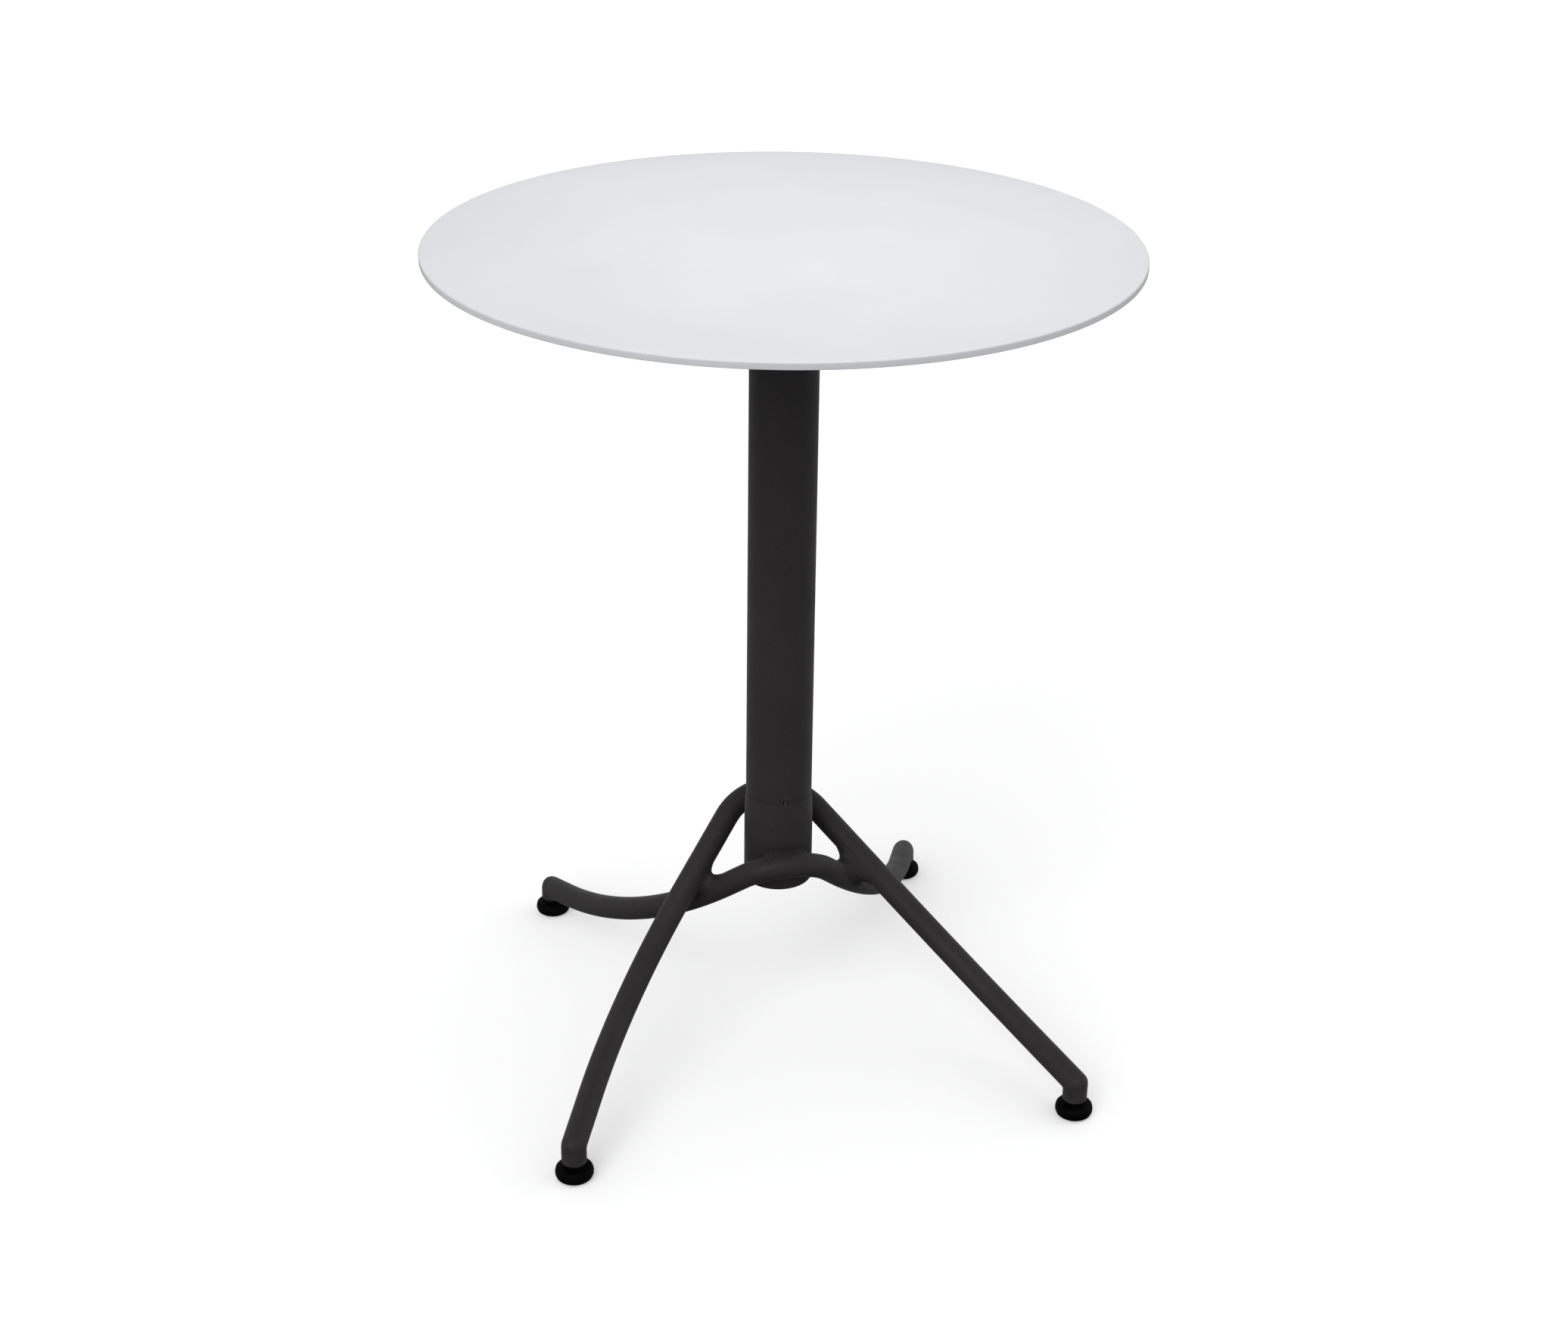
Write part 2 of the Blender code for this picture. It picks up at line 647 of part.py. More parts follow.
def make_hinge_bracket():
    """A U of folded sheet welded to the column's back, whose cheeks hold the hinge pin."""
    knuckle_back = HINGE_Y + HINGE_KNUCKLE_RADIUS
    knuckle_top = HINGE_Z + HINGE_KNUCKLE_RADIUS
    front = BRACKET_WEB_Y
    cheek = rounded_outline(
        [
            (front, BRACKET_BOTTOM_Z, 0.0015),
            (BRACKET_LOWER_BACK_Y, BRACKET_BOTTOM_Z, 0.004),
            (BRACKET_LOWER_BACK_Y, BRACKET_WAIST_Z, 0.014),
            (knuckle_back, HINGE_Z - BRACKET_SHOULDER_DROP, 0.008),
            (knuckle_back, knuckle_top, 0.0105),
            (HINGE_Y - HINGE_KNUCKLE_RADIUS, knuckle_top, 0.0105),
            (HINGE_Y - HINGE_KNUCKLE_RADIUS, BRACKET_WEB_TOP_Z, 0.003),
            (front, BRACKET_WEB_TOP_Z, 0.0),
        ]
    )
    hole = circle_outline((HINGE_Y, HINGE_Z), HINGE_PIN_RADIUS + GAP)
    middle = BRACKET_HALF_WIDTH - BRACKET_SHEET / 2
    made = plate("hinge_bracket", [cheek, hole], BRACKET_SHEET, ANTHRACITE, ALONG_Y_AND_Z, middle)
    far = plate("far_cheek_shape", [cheek, hole], BRACKET_SHEET, None, ALONG_Y_AND_Z, -middle)
    combine(made, far, "UNION")
    web = block(
        "web_shape",
        (-BRACKET_WEB_HALF, front, BRACKET_BOTTOM_Z + 0.0020),
        (BRACKET_WEB_HALF, front + BRACKET_SHEET, BRACKET_WEB_TOP_Z - 0.0004),
    )
    combine(made, web, "UNION")


def make_hinge_pin():
    """The hinge pin lies along X: its head is on the left, and a spring clip holds its other end."""
    place = Matrix.Translation((0.0, HINGE_Y, HINGE_Z)) @ ALONG_X
    outer = BRACKET_HALF_WIDTH + GAP
    end = outer + HINGE_PIN_OVERHANG
    head = -outer - HINGE_PIN_HEAD
    pin = [
        (0.0, end),
        (HINGE_PIN_RADIUS - 0.0006, end),
        (HINGE_PIN_RADIUS, end - 0.0006),
        (HINGE_PIN_RADIUS, -outer),
        (HINGE_PIN_HEAD_RADIUS, -outer),
        (HINGE_PIN_HEAD_RADIUS, head + 0.0008),
        (HINGE_PIN_HEAD_RADIUS - 0.0010, head),
        (0.0, head),
    ]
    turned("hinge_pin", pin, ZINC_STEEL, matrix=place)
    clip_bore = HINGE_PIN_RADIUS + GAP
    ring("hinge_clip", CLIP_RADIUS, clip_bore, outer, outer + CLIP_THICKNESS, ZINC_STEEL, matrix=place)


def make_hinge_bushes():
    bore = HINGE_PIN_RADIUS + GAP
    for side in ("left", "right"):
        turn = Matrix.Rotation(side_sign(side) * math.pi / 2, 4, "Y")
        place = Matrix.Translation((0.0, HINGE_Y, HINGE_Z)) @ turn
        flange_low = LUG_OUTER_X + GAP
        bush = [
            (BUSH_FLANGE_RADIUS, flange_low + BUSH_FLANGE),
            (BUSH_FLANGE_RADIUS, flange_low),
            (BUSH_BARREL_RADIUS, flange_low),
            (BUSH_BARREL_RADIUS, LUG_INNER_X),
            (bore, LUG_INNER_X),
            (bore, flange_low + BUSH_FLANGE),
        ]
        turned(f"hinge_bush_{side}", bush, NATURAL_NYLON, closed=True, matrix=place)


def make_column_cap():
    """The plastic plug that closes the column, and the rubber pad that the carrier rests on."""
    flange_low = COLUMN_TOP_Z + GAP
    plug = COLUMN_BORE - GAP
    cap = [
        (0.0, CAP_TOP_Z),
        (COLUMN_RADIUS - 0.002, CAP_TOP_Z),
        (COLUMN_RADIUS - 0.0006, CAP_TOP_Z - 0.0006),
        (COLUMN_RADIUS, CAP_TOP_Z - 0.002),
        (COLUMN_RADIUS, flange_low),
        (plug, flange_low),
        (plug, COLUMN_TOP_Z - CAP_PLUG_DEPTH + 0.002),
        (plug - 0.001, COLUMN_TOP_Z - CAP_PLUG_DEPTH),
        (0.0, COLUMN_TOP_Z - CAP_PLUG_DEPTH),
    ]
    turned("column_cap", cap, BLACK_PLASTIC, steps=CAP_SIDES)
    pad_low = CAP_TOP_Z + GAP
    pad_top = CARRIER_BOTTOM_Z - GAP
    pad = [
        (0.0, pad_top),
        (REST_PAD_RADIUS - 0.0015, pad_top),
        (REST_PAD_RADIUS, pad_top - 0.0015),
        (REST_PAD_RADIUS, pad_low),
        (0.0, pad_low),
    ]
    turned("rest_pad", pad, BLACK_RUBBER, steps=CAP_SIDES)


def make_keeper():
    """The block on the column's front that the lever's hook pulls up against."""
    made = block(
        "latch_keeper",
        (-KEEPER_WIDTH / 2, -COLUMN_RADIUS - GAP - KEEPER_DEPTH, KEEPER_Z),
        (KEEPER_WIDTH / 2, -COLUMN_RADIUS + KEEPER_WRAP, KEEPER_Z + KEEPER_HEIGHT),
        ZINC_STEEL,
        bevel=0.0006,
    )
    space = rod("keeper_space", COLUMN_RADIUS + GAP, (0, 0, 0.68), (0, 0, 0.73), sides=96)
    combine(made, space, "DIFFERENCE")


# ---------------------------------------------------------------- tilting top


def screw_places():
    for i, dx in enumerate((-1, 1)):
        for j, dy in enumerate((-1, 1)):
            yield 2 * i + j + 1, dx * SCREW_SPACING_X / 2, TOP_CENTRE_Y + dy * SCREW_SPACING_Y / 2


def make_tabletop():
    profile = [(0.0, TABLE_HEIGHT)]
    bend = TOP_EDGE_RADIUS
    for i in range(TOP_EDGE_SEGMENTS + 1):
        turn = math.pi / 2 * i / TOP_EDGE_SEGMENTS
        outward = TOP_RADIUS - bend + bend * math.sin(turn)
        profile.append((outward, TABLE_HEIGHT - bend + bend * math.cos(turn)))
    profile += [
        (TOP_RADIUS, TOP_UNDERSIDE_Z + TOP_LOWER_CHAMFER),
        (TOP_RADIUS - TOP_LOWER_CHAMFER, TOP_UNDERSIDE_Z),
        (0.0, TOP_UNDERSIDE_Z),
    ]
    place = Matrix.Translation((0.0, TOP_CENTRE_Y, 0.0))
    made = turned("tabletop", profile, WHITE_TOP, steps=TOP_SIDES, matrix=place)
    for number, x, y in screw_places():
        low = (x, y, TOP_UNDERSIDE_Z - CUT_PAST)
        high = (x, y, TOP_UNDERSIDE_Z + SCREW_DEPTH_IN_TOP + GAP)
        hole = rod(f"top_hole_{number}", SCREW_RADIUS + GAP, low, high, sides=16)
        combine(made, hole, "DIFFERENCE")


def lug_outline(y, z, end_radius, root_half):
    """A lug hanging from the carrier plate, round about (y, z)."""
    root_z = CARRIER_BOTTOM_Z + 0.001
    steps = 10
    points = [Vector((y + root_half, root_z, 0.0))]
    for i in range(steps + 1):
        turn = -math.pi * i / steps
        points.append(Vector((y + end_radius * math.cos(turn), z + end_radius * math.sin(turn), 0.0)))
    points.append(Vector((y - root_half, root_z, 0.0)))
    return points


def make_carrier():
    """The steel plate screwed under the top, with two hinge lugs at the back and two lever lugs in front."""
    half_x = CARRIER_WIDTH / 2
    low_y = TOP_CENTRE_Y - CARRIER_DEPTH / 2
    high_y = TOP_CENTRE_Y + CARRIER_DEPTH / 2
    corner = CARRIER_CORNER
    corners = ((-half_x, low_y), (half_x, low_y), (half_x, high_y), (-half_x, high_y))
    outline = rounded_outline([(x, y, corner) for x, y in corners])
    holes = [circle_outline((x, y), SCREW_RADIUS + GAP, 12) for _, x, y in screw_places()]
    level = Matrix.Translation((0.0, 0.0, CARRIER_TOP_Z - CARRIER_THICKNESS / 2))
    made = plate("carrier_plate", [outline] + holes, CARRIER_THICKNESS, ANTHRACITE, level)
    hinge_lug = lug_outline(HINGE_Y, HINGE_Z, LUG_END_RADIUS, LUG_ROOT_HALF)
    hinge_hole = circle_outline((HINGE_Y, HINGE_Z), BUSH_BARREL_RADIUS + GAP)
    lever_lug = lug_outline(LEVER_Y, LEVER_Z, LEVER_LUG_END_RADIUS, LEVER_LUG_ROOT_HALF)
    lever_hole = circle_outline((LEVER_Y, LEVER_Z), LEVER_PIN_RADIUS + GAP)
    for side in ("left", "right"):
        sign = side_sign(side)
        hinge_middle = sign * (LUG_INNER_X + LUG_SHEET / 2)
        lever_middle = sign * (LEVER_LUG_INNER_X + LUG_SHEET / 2)
        for label, outlines, middle in (
            ("hinge", [hinge_lug, hinge_hole], hinge_middle),
            ("lever", [lever_lug, lever_hole], lever_middle),
        ):
            lug = plate(f"{label}_lug_shape_{side}", outlines, LUG_SHEET, None, ALONG_Y_AND_Z, middle)
            combine(made, lug, "UNION")


def make_carrier_screws():
    """Pan-head screws that hold the carrier to the top from below."""
    head_top = CARRIER_BOTTOM_Z - GAP
    head_low = head_top - SCREW_HEAD
    profile = [
        (0.0, TOP_UNDERSIDE_Z + SCREW_DEPTH_IN_TOP),
        (SCREW_RADIUS, TOP_UNDERSIDE_Z + SCREW_DEPTH_IN_TOP),
        (SCREW_RADIUS, head_top),
        (SCREW_HEAD_RADIUS, head_top),
        (SCREW_HEAD_RADIUS - 0.0004, head_low + 0.0012),
        (SCREW_HEAD_RADIUS - 0.0022, head_low),
        (0.0, head_low),
    ]
    for number, x, y in screw_places():
        place = Matrix.Translation((x, y, 0.0))
        made = turned(f"carrier_screw_{number}", profile, ZINC_STEEL, steps=16, matrix=place)
        low = (x, y, head_low - CUT_PAST)
        high = (x, y, head_low + SCREW_DRIVE_DEPTH)
        drive = rod(f"screw_drive_{number}", SCREW_DRIVE_RADIUS, low, high, sides=6)
        combine(made, drive, "DIFFERENCE")


# ---------------------------------------------------------------- release lever


def strip_offset():
    """Unit directions along the lever's handle and across it, in the (y, z) plane."""
    along = Vector((LEVER_TIP_Y - LEVER_Y, LEVER_TIP_Z - LEVER_Z, 0.0)).normalized()
    across = Vector((-along.y, along.x, 0.0))
    return along, across


def make_lever():
    """A flat steel bell crank: a hook reaches down and under the keeper, a handle runs forward."""
    along, across = strip_offset()
    pivot = Vector((LEVER_Y, LEVER_Z, 0.0))
    tip = Vector((LEVER_TIP_Y, LEVER_TIP_Z, 0.0))
    upper = across * (-LEVER_STRIP_HALF)
    lower = across * LEVER_STRIP_HALF
    nose_low = HOOK_NOSE_Z - HOOK_HEIGHT
    shank_back = LEVER_Y + LEVER_SHANK_BACK
    shank_front = LEVER_Y - LEVER_SHANK_FRONT
    head_top = LEVER_Z + LEVER_HEAD_HEIGHT
    strip_start = pivot + along * 0.010 + lower
    strip_shoulder = pivot + along * 0.016 + upper
    corners = [
        (tip.x + upper.x, tip.y + upper.y, 0.003),
        (tip.x + lower.x, tip.y + lower.y, 0.003),
        (strip_start.x, strip_start.y, 0.004),
        (shank_front, LEVER_Z - 0.010, 0.004),
        (shank_front, nose_low, 0.005),
        (HOOK_NOSE_Y - 0.002, nose_low, 0.0018),
        (HOOK_NOSE_Y, HOOK_NOSE_Z, 0.001),
        (shank_back, HOOK_NOSE_Z, 0.0015),
        (shank_back, head_top, 0.005),
        (shank_front, head_top, 0.004),
        (strip_shoulder.x, strip_shoulder.y, 0.004),
    ]
    hole = circle_outline((LEVER_Y, LEVER_Z), LEVER_PIN_RADIUS + GAP)
    plate("release_lever", [rounded_outline(corners), hole], LEVER_THICKNESS, ANTHRACITE, ALONG_Y_AND_Z)


def make_lever_grip():
    """A soft sleeve pushed over the end of the handle."""
    along, across = strip_offset()
    tip = Vector((LEVER_TIP_Y, LEVER_TIP_Z, 0.0))

    def strip(start, end, half):
        corners = ((start, -half), (end, -half), (end, half), (start, half))
        return [tip + along * length + across * side for length, side in corners]

    outer = [(point.x, point.y, 0.0045) for point in strip(-GRIP_LENGTH, GRIP_END, GRIP_HALF_HEIGHT)]
    made = plate("lever_grip", [rounded_outline(outer)], GRIP_WIDTH, BLACK_RUBBER, ALONG_Y_AND_Z)
    rounding = made.modifiers.new("edges", "BEVEL")
    rounding.width = 0.003
    rounding.segments = 2
    rounding.limit_method = "ANGLE"
    rounding.angle_limit = math.radians(60)
    slot = strip(-GRIP_LENGTH - CUT_PAST, GAP, LEVER_STRIP_HALF + GAP)
    cutter = plate("grip_slot_shape", [slot], LEVER_THICKNESS + 2 * GAP, None, ALONG_Y_AND_Z)
    combine(made, cutter, "DIFFERENCE")


def make_lever_pin():
    place = Matrix.Translation((0.0, LEVER_Y, LEVER_Z)) @ ALONG_X
    outer = LEVER_LUG_INNER_X + LUG_SHEET + GAP
    rivet = LEVER_PIN_RADIUS + LEVER_PIN_RIVET
    pin = [
        (0.0, outer + LEVER_PIN_RIVET),
        (rivet - 0.0002, outer + LEVER_PIN_RIVET - 0.0002),
        (rivet, outer),
        (LEVER_PIN_RADIUS, outer),
        (LEVER_PIN_RADIUS, -outer),
        (rivet, -outer),
        (rivet - 0.0002, -outer - LEVER_PIN_RIVET + 0.0002),
        (0.0, -outer - LEVER_PIN_RIVET),
    ]
    turned("lever_pin", pin, ZINC_STEEL, steps=16, matrix=place)


def make_lever_spring():
    """The coil on the lever's pin, with one leg up against the carrier plate to swing the hook home."""
    points = []
    for i in range(SPRING_TURNS * SPRING_STEPS + 1):
        turn = 2 * math.pi * i / SPRING_STEPS
        x = SPRING_START_X + SPRING_PITCH * i / SPRING_STEPS
        y = LEVER_Y + SPRING_RADIUS * math.sin(turn)
        points.append(Vector((x, y, LEVER_Z - SPRING_RADIUS * math.cos(turn))))
    leg_top = CARRIER_BOTTOM_Z - SPRING_WIRE - 2 * GAP
    points.append(Vector((points[-1].x, LEVER_Y + 0.006, LEVER_Z - 0.0035)))
    points.append(Vector((points[-1].x, LEVER_Y + 0.0135, leg_top)))
    tube("lever_spring", points, SPRING_WIRE, 1, SPRING_STEEL)


# ---------------------------------------------------------------- moving bodies


def hang_on(axis_name, place, names):
    """An empty on a joint's axis, which carries the pieces that turn about it."""
    axis = link(axis_name, None, WHITE_TOP, Matrix.Translation(place), smooth=False)
    for name in names:
        piece = bpy.data.objects[name]
        piece.parent = axis
        piece.matrix_parent_inverse = axis.matrix_world.inverted()


make_base()
make_glides()
make_hinge_bracket()
make_hinge_pin()
make_hinge_bushes()
make_column_cap()
make_keeper()
make_tabletop()
make_carrier()
make_carrier_screws()
make_lever()
make_lever_grip()
make_lever_pin()
make_lever_spring()
TILTING = ["tabletop", "carrier_plate", "hinge_bush_left", "hinge_bush_right", "lever_pin"]
TILTING += [f"carrier_screw_{number}" for number, _, _ in screw_places()]
hang_on("tilt_axis", (0.0, HINGE_Y, HINGE_Z), TILTING)
hang_on("lever_axis", (0.0, LEVER_Y, LEVER_Z), ["release_lever", "lever_grip", "lever_spring"])
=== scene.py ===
"""The looks of the tilt-top bistro table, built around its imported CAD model.

Metres, +Z up, and -Y is the front.
"""

import json
import math

import bmesh
import bpy
from mathutils import Matrix, Vector, noise


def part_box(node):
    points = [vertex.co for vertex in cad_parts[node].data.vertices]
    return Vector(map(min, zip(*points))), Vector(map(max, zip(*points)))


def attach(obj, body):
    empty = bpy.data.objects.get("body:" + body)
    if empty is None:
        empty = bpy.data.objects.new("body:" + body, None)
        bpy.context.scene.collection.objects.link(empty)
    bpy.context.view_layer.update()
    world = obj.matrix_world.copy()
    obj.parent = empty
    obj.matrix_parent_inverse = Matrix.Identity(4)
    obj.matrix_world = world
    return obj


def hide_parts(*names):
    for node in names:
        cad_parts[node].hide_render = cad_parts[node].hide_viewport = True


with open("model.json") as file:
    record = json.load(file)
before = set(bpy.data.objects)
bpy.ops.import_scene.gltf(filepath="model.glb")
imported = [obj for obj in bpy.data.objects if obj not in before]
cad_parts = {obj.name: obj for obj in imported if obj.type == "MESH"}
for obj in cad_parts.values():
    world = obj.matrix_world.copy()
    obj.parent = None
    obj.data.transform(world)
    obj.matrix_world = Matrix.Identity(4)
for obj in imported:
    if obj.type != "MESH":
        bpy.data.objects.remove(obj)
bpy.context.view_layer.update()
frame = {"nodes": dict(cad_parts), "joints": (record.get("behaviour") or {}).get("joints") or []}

# ---------------------------------------------------------------- places taken from the CAD model


def middle(node):
    """Centre of a node's box."""
    low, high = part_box(node)
    return (low + high) / 2


def extent(node):
    """The corners of a node's box and half its width."""
    low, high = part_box(node)
    return low, high, (high.x - low.x) / 2


COLUMN_LOW, COLUMN_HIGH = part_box("column_tube")
AXIS_Y = middle("column_tube").y
COLUMN_RADIUS = (COLUMN_HIGH.x - COLUMN_LOW.x) / 2
COLUMN_WALL = 0.002
BORE = COLUMN_RADIUS - COLUMN_WALL
COLUMN_AXIS = Vector((0.0, AXIS_Y, 0.0))
SEAM_Z = COLUMN_LOW.z
SEAM_GAP = 0.00015
COLUMN_TOP_Z = COLUMN_HIGH.z

SOCKET_LOW, SOCKET_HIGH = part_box("base_socket")
SOCKET_RADIUS = (SOCKET_HIGH.x - SOCKET_LOW.x) / 2
SOCKET_TOP_Z = SEAM_Z - SEAM_GAP
KEY_TOP_Z = SOCKET_HIGH.z

TOP_LOW, TOP_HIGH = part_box("tabletop")
TOP_RADIUS = (TOP_HIGH.x - TOP_LOW.x) / 2

JOINTS = {joint["name"]: joint for joint in frame["joints"]}
HINGE = Vector(JOINTS["tabletop_tilt"]["pos_m"])
LEVER = Vector(JOINTS["lever_release"]["pos_m"])

LEG_RADIUS = 0.011
LEG_BORE = 0.009
LEG_END_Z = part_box("front_leg_tube")[0].z
LEG_FOOT_BEND = 0.0115  # the CAD's round bend above each foot
ELBOW_INNER = 0.0008  # radii of the tight elbow it is squeezed into, inside and outside
ELBOW_OUTER = 0.0078
ELBOW_STEPS = 14
SWEEP_STEPS = 34
APEX_STEPS = 26
GLIDE_BORE = 0.0043
CORNERS = ("front_left", "front_right", "rear_left", "rear_right")

UP = Vector((0.0, 0.0, 1.0))
TINY = 1e-6

# Each leg tube's corners from its middle out to the left foot, measured from the column's
# axis: the bend at the column, the long sweep, and the foot.
FRONT_ROUTE = ((0.0, 0.0645, 0.2442), (-0.1576, -0.0648, 0.0751), (-0.2258, -0.2177, 0.0325))
REAR_ROUTE = ((0.0, -0.0692, 0.2109), (-0.1249, 0.0616, 0.0685), (-0.1840, 0.2180, 0.0266))
FRONT_BENDS = (0.0533, 0.3677)  # bend radius at the column, and of the sweep
REAR_BENDS = (0.0466, 0.4809)

# ---------------------------------------------------------------- materials


class Finish:
    """A Principled material whose colour, roughness and bump come from noise in object space."""

    def __init__(self, name, metallic=0.0, specular=0.5):
        self.material = bpy.data.materials.new(name)
        self.material.use_nodes = True
        self.nodes = self.material.node_tree.nodes
        self.links = self.material.node_tree.links
        self.shader = self.nodes["Principled BSDF"]
        self.shader.inputs["Metallic"].default_value = metallic
        self.shader.inputs["Specular IOR Level"].default_value = specular
        self.where = self.nodes.new("ShaderNodeTexCoord").outputs["Object"]
        self.height = None

    def set(self, **values):
        """Sets constants on the shader, each named after its socket."""
        for name, value in values.items():
            self.shader.inputs[name.replace("_", " ").title()].default_value = value

    def noise(self, scale, detail=3.0, roughness=0.55, stretch=None):
        """Cloudy values about 0.5."""
        made = self.nodes.new("ShaderNodeTexNoise")
        made.inputs["Scale"].default_value = scale
        made.inputs["Detail"].default_value = detail
        made.inputs["Roughness"].default_value = roughness
        source = self.where
        if stretch is not None:
            mapping = self.nodes.new("ShaderNodeMapping")
            mapping.inputs["Scale"].default_value = stretch
            self.links.new(source, mapping.inputs["Vector"])
            source = mapping.outputs["Vector"]
        self.links.new(source, made.inputs["Vector"])
        return made.outputs["Fac"]

    def cells(self, scale):
        """Distance to the middle of the nearest pebble."""
        made = self.nodes.new("ShaderNodeTexVoronoi")
        made.inputs["Scale"].default_value = scale
        self.links.new(self.where, made.inputs["Vector"])
        return made.outputs["Distance"]

    def edges(self, low, high):
        """0 on flats and 1 along outer edges, where handling wears a finish.

        low and high are the Pointiness values where that starts and is complete.
        """
        geometry = self.nodes.new("ShaderNodeNewGeometry")
        return self.spread(geometry.outputs["Pointiness"], 0.0, 1.0, low, high)

    def spread(self, value, to_low, to_high, low=0.3, high=0.7):
        """The value's range low to high, stretched over to_low to to_high."""
        made = self.nodes.new("ShaderNodeMapRange")
        made.inputs["From Min"].default_value = low
        made.inputs["From Max"].default_value = high
        made.inputs["To Min"].default_value = to_low
        made.inputs["To Max"].default_value = to_high
        self.links.new(value, made.inputs["Value"])
        return made.outputs["Result"]

    def clouds(self, scale, detail):
        """A slow change between 0 and 1, for tone."""
        return self.spread(self.noise(scale, detail), 0.0, 1.0, 0.35, 0.65)

    def times(self, first, second):
        """The product of two values."""
        made = self.nodes.new("ShaderNodeMath")
        made.operation = "MULTIPLY"
        self.links.new(first, made.inputs[0])
        self.links.new(second, made.inputs[1])
        return made.outputs["Value"]

    def mixed(self, amount, first, second):
        """A colour between two, each a colour or a socket."""
        made = self.nodes.new("ShaderNodeMix")
        made.data_type = "RGBA"
        self.links.new(amount, made.inputs["Factor"])
        for socket, colour in ((made.inputs[6], first), (made.inputs[7], second)):
            if isinstance(colour, tuple):
                socket.default_value = (*colour, 1.0)
            else:
                self.links.new(colour, socket)
        return made.outputs[2]

    def colour(self, value):
        self.links.new(value, self.shader.inputs["Base Color"])

    def roughness(self, value):
        self.links.new(value, self.shader.inputs["Roughness"])

    def bump(self, value, distance, strength):
        """Adds a layer of relief, of this height at full strength, over the ones before it."""
        made = self.nodes.new("ShaderNodeBump")
        made.inputs["Distance"].default_value = distance
        made.inputs["Strength"].default_value = strength
        self.links.new(value, made.inputs["Height"])
        if self.height is not None:
            self.links.new(self.height, made.inputs["Normal"])
        self.height = made.outputs["Normal"]
        self.links.new(self.height, self.shader.inputs["Normal"])


def white_laminate():
    """Matt white compact laminate: a faint mottle, a fine pebbled face, and handling marks."""
    made = Finish("white_laminate", specular=0.45)
    mottle = made.clouds(7.0, 4.0)
    plain = made.mixed(mottle, (0.682, 0.694, 0.722), (0.704, 0.716, 0.744))
    speck = made.spread(made.noise(420.0, 2.0), 0.0, 0.5, 0.60, 0.80)
    made.colour(made.mixed(speck, plain, (0.650, 0.664, 0.696)))
    rub = made.noise(14.0, 6.0, 0.6, (1.0, 3.0, 1.0))
    made.roughness(made.spread(rub, 0.36, 0.50))
    made.bump(made.cells(1300.0), 0.00003, 0.55)
    made.bump(made.noise(38.0, 2.0), 0.00006, 0.35)
    return made.material


def powder_coat():
    """Matt anthracite powder coat: fine orange peel, slow changes of tone, and paler worn edges."""
    made = Finish("anthracite_powder_coat", specular=0.15)
    made.set(Sheen_Weight=0.10, Sheen_Roughness=0.35)
    tone = made.clouds(9.0, 5.0)
    plain = made.mixed(tone, (0.0240, 0.0214, 0.0223), (0.0284, 0.0255, 0.0265))
    fleck = made.spread(made.noise(1500.0, 2.0, 0.5), 0.0, 1.0, 0.60, 0.76)
    coated = made.mixed(fleck, plain, (0.056, 0.052, 0.054))
    edges = made.edges(0.530, 0.600)
    worn = made.times(edges, made.spread(made.noise(130.0, 5.0), 0.0, 0.55, 0.42, 0.62))
    made.colour(made.mixed(worn, coated, (0.075, 0.073, 0.074)))
    made.roughness(made.spread(made.noise(55.0, 4.0), 0.47, 0.60))
    made.bump(made.noise(1150.0, 3.0, 0.6), 0.00013, 0.75)
    made.bump(made.noise(240.0, 2.0), 0.00016, 0.40)
    return made.material


def weld_coat():
    """The same coat over rough weld metal."""
    made = Finish("coated_weld", specular=0.15)
    tone = made.clouds(60.0, 5.0)
    made.colour(made.mixed(tone, (0.0232, 0.0207, 0.0216), (0.0304, 0.0275, 0.0286)))
    made.roughness(made.spread(made.noise(90.0, 4.0), 0.44, 0.60))
    made.bump(made.noise(900.0, 4.0, 0.65), 0.00025, 0.8)
    made.bump(made.noise(320.0, 3.0), 0.0006, 0.6)
    return made.material


def moulded_plastic():
    """Black moulded plastic with a fine matt texture and dusty scuffs on its edges."""
    made = Finish("black_moulded_plastic", specular=0.03)
    tone = made.clouds(30.0, 4.0)
    plain = made.mixed(tone, (0.0012, 0.0012, 0.0013), (0.0024, 0.0024, 0.0025))
    edges = made.edges(0.52, 0.60)
    scuffed = made.times(edges, made.spread(made.noise(200.0, 5.0), 0.0, 0.5, 0.45, 0.60))
    made.colour(made.mixed(scuffed, plain, (0.020, 0.020, 0.0205)))
    made.roughness(made.spread(made.noise(120.0, 4.0), 0.40, 0.55))
    made.bump(made.noise(1600.0, 2.0), 0.00005, 0.6)
    return made.material


def black_rubber():
    """Soft black rubber with a little dust on it."""
    made = Finish("black_rubber", specular=0.30)
    tone = made.clouds(45.0, 5.0)
    plain = made.mixed(tone, (0.0120, 0.0118, 0.0116), (0.0200, 0.0196, 0.0192))
    dust = made.spread(made.noise(260.0, 6.0, 0.7), 0.0, 0.35, 0.52, 0.72)
    made.colour(made.mixed(dust, plain, (0.050, 0.048, 0.046)))
    made.roughness(made.spread(made.noise(80.0, 4.0), 0.70, 0.88))
    made.bump(made.noise(1300.0, 3.0), 0.00010, 0.6)
    return made.material


